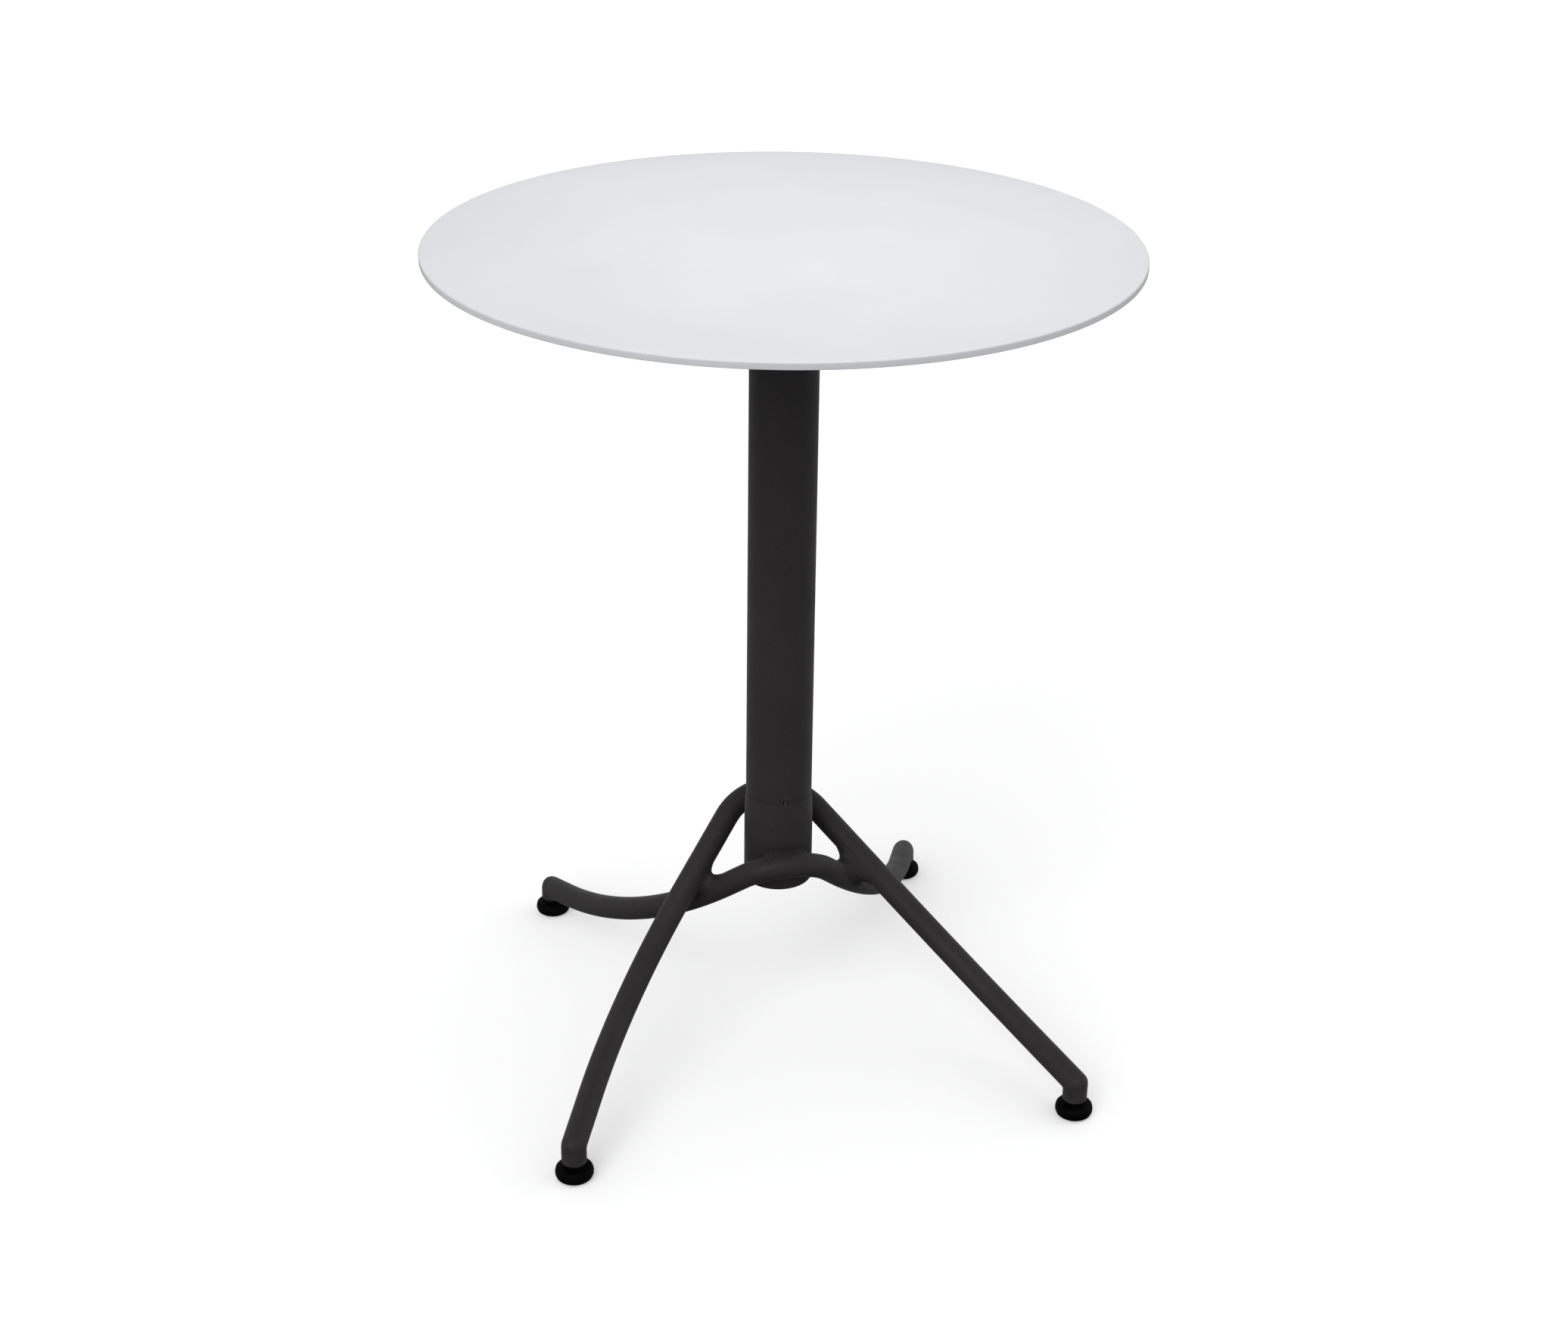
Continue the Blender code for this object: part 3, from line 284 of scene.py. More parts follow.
def natural_nylon():
    """Uncoloured nylon, slightly see-through."""
    made = Finish("natural_nylon", specular=0.45)
    made.set(Subsurface_Weight=0.12, Subsurface_Scale=0.002)
    tone = made.clouds(110.0, 4.0)
    made.colour(made.mixed(tone, (0.60, 0.575, 0.50), (0.68, 0.655, 0.585)))
    made.roughness(made.spread(made.noise(150.0, 3.0), 0.40, 0.55))
    made.bump(made.noise(900.0, 3.0), 0.00004, 0.5)
    return made.material


def plated_steel(name, light, dark, low, high, stretch):
    """Plated or blackened steel: clouded tone and fine marks left by turning or drawing."""
    made = Finish(name, metallic=1.0)
    cloud = made.clouds(160.0, 5.0)
    made.colour(made.mixed(cloud, dark, light))
    made.roughness(made.spread(made.noise(300.0, 4.0), low, high))
    made.bump(made.noise(700.0, 4.0, 0.6, stretch), 0.00004, 0.5)
    return made.material


WHITE_TOP = white_laminate()
COAT = powder_coat()
WELD = weld_coat()
PLASTIC = moulded_plastic()
RUBBER = black_rubber()
NYLON = natural_nylon()
BLACKENED = plated_steel(
    "blackened_steel", (0.012, 0.012, 0.013), (0.006, 0.006, 0.007), 0.45, 0.60, (1.0, 1.0, 2.0)
)
ZINC = plated_steel(
    "zinc_plated_steel", (0.66, 0.67, 0.68), (0.52, 0.53, 0.55), 0.24, 0.38, (1.0, 1.0, 4.0)
)
WIRE = plated_steel(
    "spring_wire", (0.50, 0.50, 0.50), (0.36, 0.36, 0.37), 0.22, 0.36, (5.0, 1.0, 1.0)
)

# ---------------------------------------------------------------- mesh helpers


def piece(name, build, finish, body, node, sharp=32.0):
    """A shown piece from a filled bmesh, riding on a body and standing for its CAD node."""
    bmesh.ops.recalc_face_normals(build, faces=build.faces)
    mesh = bpy.data.meshes.new(name)
    build.to_mesh(mesh)
    build.free()
    mesh.materials.append(finish)
    mesh.shade_smooth()
    mesh.set_sharp_from_angle(angle=math.radians(sharp))
    made = bpy.data.objects.new(name, mesh)
    bpy.context.scene.collection.objects.link(made)
    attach(made, body)
    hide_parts(node)
    return made


def arc_between(before, corner, after, radius, segments):
    """Points of the round bend of this radius that replaces a corner."""
    towards_before = (before - corner).normalized()
    towards_after = (after - corner).normalized()
    half_angle = towards_before.angle(towards_after) / 2
    setback = radius / math.tan(half_angle)
    inward = (towards_before + towards_after).normalized()
    centre = corner + inward * (radius / math.sin(half_angle))
    start = corner + towards_before * setback - centre
    end = corner + towards_after * setback - centre
    sweep = math.pi - 2 * half_angle
    points = []
    for i in range(segments + 1):
        share = i / segments
        mixed = start * math.sin((1 - share) * sweep) + end * math.sin(share * sweep)
        points.append(centre + mixed / math.sin(sweep))
    return points


def softened(profile, segments=4):
    """Profile points (radius, height) from corners (radius, height, fillet)."""
    points = []
    for i, (radius, height, fillet) in enumerate(profile):
        here = Vector((radius, height, 0.0))
        if fillet <= 0.0 or i in (0, len(profile) - 1):
            points.append((radius, height))
            continue
        before = Vector((*profile[i - 1][:2], 0.0))
        after = Vector((*profile[i + 1][:2], 0.0))
        arc = arc_between(before, here, after, fillet, segments)
        points += [(point.x, point.y) for point in arc]
    return points


def fill_rings(build, rings):
    """Joins neighbouring rings of vertices with faces. A ring of one vertex closes an end."""
    for first, second in zip(rings, rings[1:]):
        count = max(len(first), len(second))
        for i in range(count):
            j = (i + 1) % count
            corners = [first[i % len(first)], first[j % len(first)]]
            corners += [second[j % len(second)], second[i % len(second)]]
            unique = list(dict.fromkeys(corners))
            if len(unique) > 2:
                build.faces.new(unique)


def lathe(profile, sides, place, warp=None, closed=False):
    """A turned solid as a bmesh. warp(radius, height, angle) may change a point's radius."""
    build = bmesh.new()
    rings = []
    for radius, height in profile:
        if radius < TINY:
            rings.append([build.verts.new((0.0, 0.0, height))])
            continue
        ring = []
        for i in range(sides):
            angle = 2 * math.pi * i / sides
            reach = radius if warp is None else warp(radius, height, angle)
            ring.append(build.verts.new((reach * math.cos(angle), reach * math.sin(angle), height)))
        rings.append(ring)
    if closed:
        rings.append(rings[0])
    fill_rings(build, rings)
    bmesh.ops.transform(build, matrix=place, verts=build.verts)
    return build


def turned_ring(corners, sides, place):
    """A turned solid with a bore. The corners go once around its section, from a sharp one."""
    return lathe(softened(corners + corners[:1])[:-1], sides, place, closed=True)


def spokes(across, beside, count):
    """Evenly spread directions in the plane of two unit vectors."""
    angles = [2 * math.pi * k / count for k in range(count)]
    return [across * math.cos(angle) + beside * math.sin(angle) for angle in angles]


def capped(build, rings, start, end):
    """Joins the rings with faces and closes each end at a point."""
    first = build.verts.new(start)
    last = build.verts.new(end)
    fill_rings(build, [[first]] + rings + [[last]])
    return build


def wire_along(route, radius, sides):
    """A round wire along the route, closed at both ends."""
    build = bmesh.new()
    across = None
    rings = []
    for i, point in enumerate(route):
        ahead = route[min(i + 1, len(route) - 1)] - route[max(i - 1, 0)]
        ahead.normalize()
        if across is None:
            across = ahead.orthogonal().normalized()
        across = (across - ahead * across.dot(ahead)).normalized()
        beside = ahead.cross(across)
        around = spokes(across, beside, sides)
        rings.append([build.verts.new(point + spoke * radius) for spoke in around])
    return capped(build, rings, route[0], route[-1])


def hexagon(radius, angle):
    """Reach at this angle of a hexagon whose corners are at the radius."""
    return radius * math.cos(math.pi / 6) / math.cos(angle % (math.pi / 3) - math.pi / 6)


def block(low, high):
    """A plain block between two corners."""
    build = bmesh.new()
    bmesh.ops.create_cube(build, size=1.0)
    size = Vector(high) - Vector(low)
    bmesh.ops.scale(build, vec=size, verts=build.verts)
    bmesh.ops.translate(build, vec=(Vector(high) + Vector(low)) / 2, verts=build.verts)
    return build


def joined(build, other, operation):
    """The Boolean of two bmeshes, as a new bmesh."""
    pair = []
    for label, source in (("kept", build), ("tool", other)):
        bmesh.ops.recalc_face_normals(source, faces=source.faces)
        mesh = bpy.data.meshes.new(label)
        source.to_mesh(mesh)
        source.free()
        made = bpy.data.objects.new(label, mesh)
        bpy.context.scene.collection.objects.link(made)
        pair.append(made)
    change = pair[0].modifiers.new("change", "BOOLEAN")
    change.operation = operation
    change.object = pair[1]
    change.solver = "EXACT"
    graph = bpy.context.evaluated_depsgraph_get()
    result = bmesh.new()
    result.from_mesh(pair[0].evaluated_get(graph).to_mesh())
    for made in pair:
        bpy.data.objects.remove(made, do_unlink=True)
    return result


def refined(node, bevel, segments, finish, body):
    """A sheet or block piece from its CAD solid, with its edges rounded."""
    merge = 0.000002
    flat = math.radians(2)
    edge = 40.0
    build = bmesh.new()
    build.from_mesh(frame["nodes"][node].data)
    bmesh.ops.remove_doubles(build, verts=build.verts, dist=merge)
    bmesh.ops.dissolve_limit(build, angle_limit=flat, verts=build.verts, edges=build.edges)
    made = piece(node + "_shown", build, finish, body, node, sharp=edge)
    rounding = made.modifiers.new("edges", "BEVEL")
    rounding.width = bevel
    rounding.segments = segments
    rounding.limit_method = "ANGLE"
    rounding.angle_limit = math.radians(edge)
    rounding.harden_normals = True


# ---------------------------------------------------------------- leg tubes


def leg_route(corners, bends):
    """Fine centre line of a leg tube, from its left foot over the column to its right foot."""
    apex, turn, foot = (Vector(corner) + COLUMN_AXIS for corner in corners)
    low = Vector((foot.x, foot.y, LEG_END_Z))
    flip = Vector((-1.0, 1.0, 1.0))
    stations = [low, foot, turn, apex, turn * flip, foot * flip, low * flip]
    radii = [LEG_FOOT_BEND, bends[1], bends[0], bends[1], LEG_FOOT_BEND]
    counts = [ELBOW_STEPS, SWEEP_STEPS, APEX_STEPS, SWEEP_STEPS, ELBOW_STEPS]
    points = [stations[0]]
    for i, (radius, count) in enumerate(zip(radii, counts), start=1):
        points += arc_between(stations[i - 1], stations[i], stations[i + 1], radius, count)
    points.append(stations[-1])
    return points


def mitred(corner, onward, point, ahead, offset):
    """Where a skin point of a foot's round bend goes when it is squeezed into a tight elbow.

    The corner is the elbow's, onward leads from it along the leg, and the skin point lies at
    the offset from a point of the centre line that runs ahead.
    """
    inside = (onward - UP).normalized()
    beside = UP.cross(onward).normalized()
    inward = beside.cross(ahead)
    if inward.dot(inside) < 0.0:
        inward = -inward
    depth = offset.dot(inward)
    outer_share = (LEG_RADIUS - depth) / (2 * LEG_RADIUS)
    radius = ELBOW_INNER + (ELBOW_OUTER - ELBOW_INNER) * outer_share
    along = inside * (depth / math.cos(UP.angle(onward) / 2))
    mitre_point = corner + beside * offset.dot(beside) + along
    return mitre_point + (point - corner) * (radius / LEG_FOOT_BEND)


def leg_tube(name, route, corners):
    """A bent tube with a tight elbow, a square-cut, eased end and an open bore at each foot."""
    ease = 0.0004
    pocket = 0.006
    sides = 56
    ends = [
        [
            (tip + UP * pocket, LEG_BORE),
            (tip + UP * ease, LEG_BORE),
            (tip, LEG_BORE + ease),
            (tip, LEG_RADIUS - ease),
            (tip + UP * ease, LEG_RADIUS),
        ]
        for tip in (route[0], route[-1])
    ]
    stations = ends[0] + [(point, LEG_RADIUS) for point in route[1:-1]] + ends[1][::-1]
    past_elbow = ELBOW_STEPS + 1
    elbows = []
    for tip, near, far in (
        (route[0], route[past_elbow], route[past_elbow + 1]),
        (route[-1], route[-past_elbow - 1], route[-past_elbow - 2]),
    ):
        elbow_corner = Vector((tip.x, tip.y, corners[-1][2]))
        elbows.append((elbow_corner, (far - near).normalized()))
    left = len(ends[0])
    right = len(stations) - len(ends[1])
    build = bmesh.new()
    rings = []
    across = Vector((1.0, 0.0, 0.0))
    for i, (point, radius) in enumerate(stations):
        if i < left:
            ahead = UP
        elif i >= right:
            ahead = -UP
        else:
            ahead = (stations[i + 1][0] - stations[i - 1][0]).normalized()
        across = (across - ahead * across.dot(ahead)).normalized()
        ring = []
        for spoke in spokes(across, ahead.cross(across), sides):
            offset = spoke * radius
            place = point + offset
            if left <= i < left + past_elbow:
                place = mitred(*elbows[0], point, ahead, offset)
            elif right - past_elbow <= i < right:
                place = mitred(*elbows[1], point, ahead, offset)
            ring.append(build.verts.new(place))
        rings.append(ring)
    capped(build, rings, stations[0][0], stations[-1][0])
    piece(name + "_shown", build, COAT, "base", name)


# ---------------------------------------------------------------- welds


def at_x(route, x):
    """The point where the route passes this x near its middle."""
    for first, second in zip(route, route[1:]):
        if first.x <= x <= second.x:
            return first.lerp(second, (x - first.x) / max(second.x - first.x, TINY))
    raise ValueError(x)


def socket_weld(name, route, outward, level, phase):
    """A rippled fillet bead in the crease between the socket and a leg tube.

    outward is 1 for the tube behind the socket and -1 for the one in front of it. The phase
    sets where the ripples start.
    """
    up = 1.0 if level == "upper" else -1.0
    half_length = 0.0210
    on_wall_rise = 0.0112
    on_tube_rise = 0.0101
    on_tube_reach = 0.0042
    wall_follow = 0.0055  # how deep around the socket the bead follows its wall
    root_depth = 0.0055
    crown = 0.0010
    pitch = 0.0029
    ripple_height = 0.00075
    wander_height = 0.00040
    grit_height = 0.00030
    step_jitter = 0.7
    end_width = 0.25
    end_bulge = 0.15
    overlap = 0.0004
    sink = 0.0002
    steps = 150
    sides = 30
    build = bmesh.new()
    rings = []
    for i in range(steps + 1):
        x = half_length * (2.0 * i / steps - 1.0)
        tube_middle = at_x(route, x)
        wall_reach = max(math.sqrt(SOCKET_RADIUS**2 - x * x), SOCKET_RADIUS - wall_follow)
        wall_y = AXIS_Y + outward * wall_reach
        tube_y = tube_middle.y + outward * on_tube_reach
        on_wall = Vector((x, wall_y, tube_middle.z + up * on_wall_rise))
        on_tube = Vector((x, tube_y, tube_middle.z + up * on_tube_rise))
        along = (on_tube - on_wall) / 2
        normal = Vector((0.0, outward * abs(along.z), up * abs(along.y))).normalized()
        share = abs(x) / half_length
        taper = math.sqrt(max(0.0, 1.0 - share**6))
        step = x / pitch + phase + step_jitter * noise.noise(Vector((x * 150.0, phase, 3.0)))
        ripple = (step - math.floor(step) - 0.5) * ripple_height
        wander = wander_height * noise.noise(Vector((x * 210.0, phase, 0.0)))
        half_width = (along.length + overlap + wander) * (end_width + (1.0 - end_width) * taper)
        bulge = (crown + ripple + wander) * (end_bulge + (1.0 - end_bulge) * taper)
        centre = (on_wall + on_tube) / 2 + along * (1.0 - taper) - normal * sink
        flat = along.normalized()
        ring = []
        for k in range(sides):
            angle = 2 * math.pi * k / sides
            depth = bulge if math.sin(angle) > 0.0 else root_depth * taper
            offset = flat * (half_width * math.cos(angle)) + normal * (depth * math.sin(angle))
            place = centre + offset
            place += normal * (grit_height * noise.noise(place * 480.0))
            ring.append(build.verts.new(place))
        rings.append(ring)
    start, end = (
        sum((vertex.co for vertex in ring), Vector()) / sides for ring in (rings[0], rings[-1])
    )
    capped(build, rings, start, end)
    node = f"{name}_{level}"
    piece(node + "_shown", build, WELD, "base", node, sharp=70.0)


def off_steps(steps, point):
    """Distance from a point to the nearest of some straight steps, and the nearest point there."""
    best = None
    for first, second in steps:
        step = second - first
        share = max(0.0, min(1.0, (point - first).dot(step) / step.length_squared))
        foot = first + step * share
        gap = (foot - point).length
        if best is None or gap < best[0]:
            best = (gap, foot)
    return best


def near_route(route, place, reach):
    """The straight steps of a route that pass near a place."""
    return [step for step in zip(route, route[1:]) if off_steps([step], place)[0] < reach]


def crossing_weld(side, blend):
    """Weld metal that fills the gap where the two leg tubes cross, with a smooth fillet onto each.

    It is the smooth union of both tubes over the distance called blend, a hair inside their
    skins, and reaches only where both are near.
    """
    node = f"crossing_weld_{side}"
    near = 0.050
    limit = 0.0340
    core = 0.0008
    skin = 0.00018
    widest = min(0.8 * blend, 0.0155)
    full_swell = 0.0016
    lump_height = 0.00045
    grit_height = 0.00016
    levels = 40
    sides = 110
    halvings = 13
    guess = middle(node)
    front = near_route(FRONT_LINE, guess, near)
    rear = near_route(REAR_LINE, guess, near)
    on_front = off_steps(front, guess)[1]
    for _ in range(12):
        on_rear = off_steps(rear, on_front)[1]
        on_front = off_steps(front, on_rear)[1]
    axis = on_rear - on_front
    half = axis.length / 2
    axis.normalize()
    centre = (on_front + on_rear) / 2
    across = axis.orthogonal().normalized()
    beside = axis.cross(across)

    def fillet(point, level):
        """How far outside the weld a point lies, and how much metal the smooth union adds there."""
        first = off_steps(front, point)[0] - LEG_RADIUS
        second = off_steps(rear, point)[0] - LEG_RADIUS
        mix = max(blend - abs(first - second), 0.0) / blend
        added = mix * mix * blend / 4 * (1.0 - (level / half) ** 2)
        return max(min(first, second) - added + skin, max(first, second) - widest), added

    build = bmesh.new()
    rings = []
    for i in range(levels + 1):
        level = half * (2.0 * i / levels - 1.0)
        ring = []
        for ray in spokes(across, beside, sides):
            low, high = core, limit
            for _ in range(halvings):
                trial = (low + high) / 2
                if fillet(centre + axis * level + ray * trial, level)[0] < 0.0:
                    low = trial
                else:
                    high = trial
            place = centre + axis * level + ray * low
            swell = min(1.0, fillet(place, level)[1] / full_swell)
            rough = noise.noise(place * 330.0) * lump_height
            rough += noise.noise(place * 900.0) * grit_height
            ring.append(build.verts.new(place + ray * (rough * swell)))
        rings.append(ring)
    capped(build, rings, centre - axis * half, centre + axis * half)
    piece(node + "_shown", build, WELD, "base", node, sharp=80.0)


# ---------------------------------------------------------------- column and socket


def column():
    """The column tube, with the notch at the front of its seam that the socket's key sits in."""
    straight = 0.012
    notch_half = 0.0026
    notch_room = 0.0009
    past = 0.002
    section = [
        (BORE, COLUMN_TOP_Z, 0.0),
        (COLUMN_RADIUS, COLUMN_TOP_Z, 0.0005),
        (COLUMN_RADIUS, SEAM_Z + straight, 0.0),
        (COLUMN_RADIUS, SEAM_Z, 0.0001),
        (BORE, SEAM_Z, 0.0003),
        (BORE, SEAM_Z + straight, 0.0),
    ]
    build = turned_ring(section, 192, Matrix.Translation(COLUMN_AXIS))
    notch = block(
        (-notch_half, AXIS_Y - COLUMN_RADIUS - past, SEAM_Z - past),
        (notch_half, AXIS_Y - BORE + past, KEY_TOP_Z + notch_room),
    )
    build = joined(build, notch, "DIFFERENCE")
    piece("column_shown", build, COAT, "base", "column_tube")


def socket():
    """The base's socket, flared a little below its lip, with its key."""
    lip = SOCKET_RADIUS - 0.0011
    lip_height = 0.0040
    flare_z = 0.220
    straight = 0.012
    key_half = 0.0017
    key_root = 0.0015
    inset = 0.0001
    section = [
        (BORE, SOCKET_TOP_Z, 0.0),
        (lip, SOCKET_TOP_Z, 0.0001),
        (lip + 0.0001, SOCKET_TOP_Z - lip_height, 0.003),
        (SOCKET_RADIUS, flare_z, 0.008),
        (SOCKET_RADIUS, flare_z - straight, 0.0),
        (SOCKET_RADIUS, SOCKET_LOW.z, 0.0010),
        (BORE, SOCKET_LOW.z, 0.0006),
    ]
    build = turned_ring(section, 192, Matrix.Translation(COLUMN_AXIS))
    key = block(
        (-key_half, AXIS_Y - COLUMN_RADIUS + inset, SOCKET_TOP_Z - key_root),
        (key_half, AXIS_Y - BORE - inset, KEY_TOP_Z),
    )
    build = joined(build, key, "UNION")
    piece("base_socket_shown", build, COAT, "base", "base_socket")


def around_column(node, corners, sides, finish, warp=None):
    """A solid piece of the base, turned about the column's axis."""
    build = lathe(softened(corners), sides, Matrix.Translation(COLUMN_AXIS), warp)
    piece(node + "_shown", build, finish, "base", node)


def tie():
    """What shows from below: the socket's end plate, the washer and the bolt's head."""
    bore = 0.0053
    for node, sides, edge, bore_edge, finish, slot in (
        ("socket_end_plate", 96, 0.0004, 0.0003, COAT, "powder_coat"),
        ("tie_washer", 72, 0.0003, 0.0002, ZINC, "zinc_steel"),
    ):
        low, high, radius = extent(node)
        section = [
            (bore, high.z, 0.0),
            (radius, high.z, edge),
            (radius, low.z, edge),
            (bore, low.z, bore_edge),
        ]
        build = turned_ring(section, sides, Matrix.Translation(COLUMN_AXIS))
        piece(node + "_shown", build, finish, "base", node)

    low, high, radius = extent("tie_bolt")
    shank = 0.005
    head_top = low.z + 0.007
    drive = 0.0046
    drive_lead = 0.0004
    drive_floor = low.z + 0.004
    drill_point = 0.0008
    bolt = [
        (0.0, high.z, 0.0),
        (shank - 0.001, high.z, 0.0),
        (shank, high.z - 0.001, 0.0),
        (shank, head_top, 0.0),
        (radius, head_top, 0.0003),
        (radius, low.z, 0.0008),
        (drive + drive_lead, low.z, 0.0),
        (drive, low.z + drive_lead, 0.0),
        (drive, drive_floor, 0.0),
        (0.0, drive_floor + drill_point, 0.0),
    ]

    def warp(reach, height, angle):
        in_drive = reach <= drive + TINY and height <= drive_floor + TINY
        return hexagon(reach, angle) if in_drive else reach

    around_column("tie_bolt", bolt, 72, ZINC, warp)


# ---------------------------------------------------------------- glides


def glide_insert(corner, place):
    """The plastic insert in a leg's end: a flange under the tube and a barrel in its bore."""
    node = f"glide_insert_{corner}"
    low, high, _ = extent(node)
    flange_top = LEG_END_Z - 0.0003
    barrel = LEG_BORE - 0.0008
    taper = 0.0012
    collar = 0.0018
    section = [
        (GLIDE_BORE, high.z, 0.0),
        (barrel - taper, high.z, 0.0003),
        (barrel, flange_top + collar, 0.0),
        (barrel, flange_top, 0.0),
        (LEG_RADIUS, flange_top, 0.0003),
        (LEG_RADIUS, low.z, 0.0005),
        (GLIDE_BORE, low.z, 0.0003),
    ]
    piece(node + "_shown", turned_ring(section, 64, place), PLASTIC, "base", node)


def glide_pad(corner, place):
    """The moulded pad that stands on the floor, with a blind bore for the stud."""
    node = f"glide_pad_{corner}"
    _, high, radius = extent(node)
    bore_floor = 0.0042
    hub = 0.0085
    contact = 0.0125
    pad = [
        (0.0, bore_floor, 0.0),
        (GLIDE_BORE, bore_floor, 0.0),
        (GLIDE_BORE, high.z, 0.0004),
        (hub, high.z, 0.0006),
        (radius - 0.0032, high.z - 0.0005, 0.002),
        (radius - 0.0006, high.z - 0.0022, 0.0018),
        (radius, high.z - 0.0050, 0.0015),
        (radius, 0.0046, 0.002),
        (radius - 0.0010, 0.0020, 0.0010),
        (contact + 0.0012, 0.0004, 0.0012),
        (contact, 0.0, 0.0003),
        (contact - 0.0025, 0.0, 0.0),
        (0.0, 0.0, 0.0),
    ]
    build = lathe(softened(pad), 96, place)
    piece(node + "_shown", build, PLASTIC, f"glide_{corner}", node)


def glide_stud(corner, place):
    """The stud: a thread above a hexagon for a spanner."""
    node = f"glide_stud_{corner}"
    low, high, _ = extent(node)
    stud = 0.004
    pitch = 0.00125
    thread_depth = 0.00055
    rings_per_turn = 8
    collar = 0.0072
    collar_low = 0.0123
    collar_high = 0.0147
    collar_edge = 0.0005
    collar_flat = collar * 0.84
    profile = [(0.0, high.z), (stud - 0.0010, high.z)]
    height = high.z - 0.0006
    while height > collar_high + 0.0002:
        profile.append((stud, height))
        height -= pitch / rings_per_turn
    profile += [
        (stud, collar_high),
        (collar_flat, collar_high),
        (collar, collar_high - collar_edge),
        (collar, collar_low + collar_edge),
        (collar_flat, collar_low),
        (stud, collar_low),
        (stud, low.z),
        (0.0, low.z),
    ]

    def warp(reach, level, angle):
        if reach > stud + TINY:
            return min(hexagon(collar, angle), reach)
        if level < collar_high + 0.0001 or reach < stud - TINY:
            return reach
        turn = (level / pitch - angle / (2 * math.pi)) % 1.0
        return reach - thread_depth * (1.0 - abs(2.0 * turn - 1.0))

    build = lathe(profile, 48, place, warp)
    piece(node + "_shown", build, ZINC, f"glide_{corner}", node)


def glide(corner):
    """A levelling glide: insert in the tube's end, threaded stud with a hexagon, moulded pad."""
    centre = middle(f"glide_pad_{corner}")
    place = Matrix.Translation((centre.x, centre.y, 0.0))
    glide_insert(corner, place)
    glide_pad(corner, place)
    glide_stud(corner, place)


# ---------------------------------------------------------------- column head


def on_x_axis(joint, side=1):
    """A frame on a joint's line in the middle of the table, whose Z runs along X or against it."""
    turn = Matrix.Rotation(side * math.pi / 2, 4, "Y")
    return Matrix.Translation((0.0, joint.y, joint.z)) @ turn


def column_end():
    """The nut plate on the column's upper end and the rubber pad that the carrier rests on."""
    low, high, _ = extent("column_cap")
    plug = BORE - 0.0003
    plug_taper = 0.001
    plug_lead = 0.002
    flange = COLUMN_TOP_Z + 0.0003
    cap = [
        (0.0, high.z, 0.0),
        (COLUMN_RADIUS, high.z, 0.0020),
        (COLUMN_RADIUS, flange, 0.0003),
        (plug, flange, 0.0),
        (plug, low.z + plug_lead, 0.0),
        (plug - plug_taper, low.z, 0.0),
        (0.0, low.z, 0.0),
    ]
    around_column("column_cap", cap, 128, PLASTIC)

    low, high, radius = extent("rest_pad")
    groove_inner = 0.010
    groove_outer = 0.0134
    groove_depth = 0.0008
    pad = [
        (0.0, high.z, 0.0),
        (groove_inner, high.z, 0.0),
        (groove_inner + groove_depth, high.z - groove_depth, 0.0003),
        (groove_outer - groove_depth, high.z - groove_depth, 0.0003),
        (groove_outer, high.z, 0.0003),
        (radius, high.z, 0.0014),
        (radius, low.z, 0.0005),
        (0.0, low.z, 0.0),
    ]
    around_column("rest_pad", pad, 96, RUBBER)


def hinge():
    """The hinge pin with its riveted head, its clip, the nylon bushes and the bracket."""
    low, high, _ = extent("hinge_pin")
    pin = 0.004
    head = 0.0065
    seat = low.x + 0.0025
    groove = pin - 0.0005
    groove_high = high.x - 0.0024
    groove_low = high.x - 0.0034
    profile = [
        (0.0, high.x, 0.0),
        (pin, high.x, 0.0006),
        (pin, groove_high, 0.0002),
        (groove, groove_high, 0.0),
        (groove, groove_low, 0.0),
        (pin, groove_low, 0.0),
        (pin, seat, 0.0),
        (head, seat, 0.0003),
        (head, seat - 0.0009, 0.0008),
        (head - 0.0022, low.x + 0.0003, 0.0020),
        (0.0, low.x, 0.0),
    ]
    build = lathe(softened(profile), 64, on_x_axis(HINGE))
    piece("hinge_pin_shown", build, ZINC, "base", "hinge_pin")

    low, high, _ = extent("hinge_clip")
    clip_bore = 0.0044
    clip = 0.0072
    section = [
        (clip_bore, high.x, 0.0),
        (clip, high.x, 0.0003),
        (clip, low.x, 0.0003),
        (clip_bore, low.x, 0.0),
    ]
    build = turned_ring(section, 64, on_x_axis(HINGE))
    piece("hinge_clip_shown", build, ZINC, "base", "hinge_clip")

    bush_bore = 0.0043
    bush = 0.0058
    bush_flange = 0.008
    flange_height = 0.001
    for side, sign in (("left", -1), ("right", 1)):
        node = f"hinge_bush_{side}"
        low, high, _ = extent(node)
        inner = min(abs(low.x), abs(high.x))
        outer = max(abs(low.x), abs(high.x))
        section = [
            (bush_bore, outer, 0.0),
            (bush_flange, outer, 0.0003),
            (bush_flange, outer - flange_height, 0.0002),
            (bush, outer - flange_height, 0.0),
            (bush, inner, 0.0003),
            (bush_bore, inner, 0.0),
        ]
        build = turned_ring(section, 64, on_x_axis(HINGE, sign))
        piece(node + "_shown", build, NYLON, "top", node)
    refined("hinge_bracket", 0.0006, 3, COAT, "base")
    refined("latch_keeper", 0.0004, 2, ZINC, "base")


# ---------------------------------------------------------------- tilting top


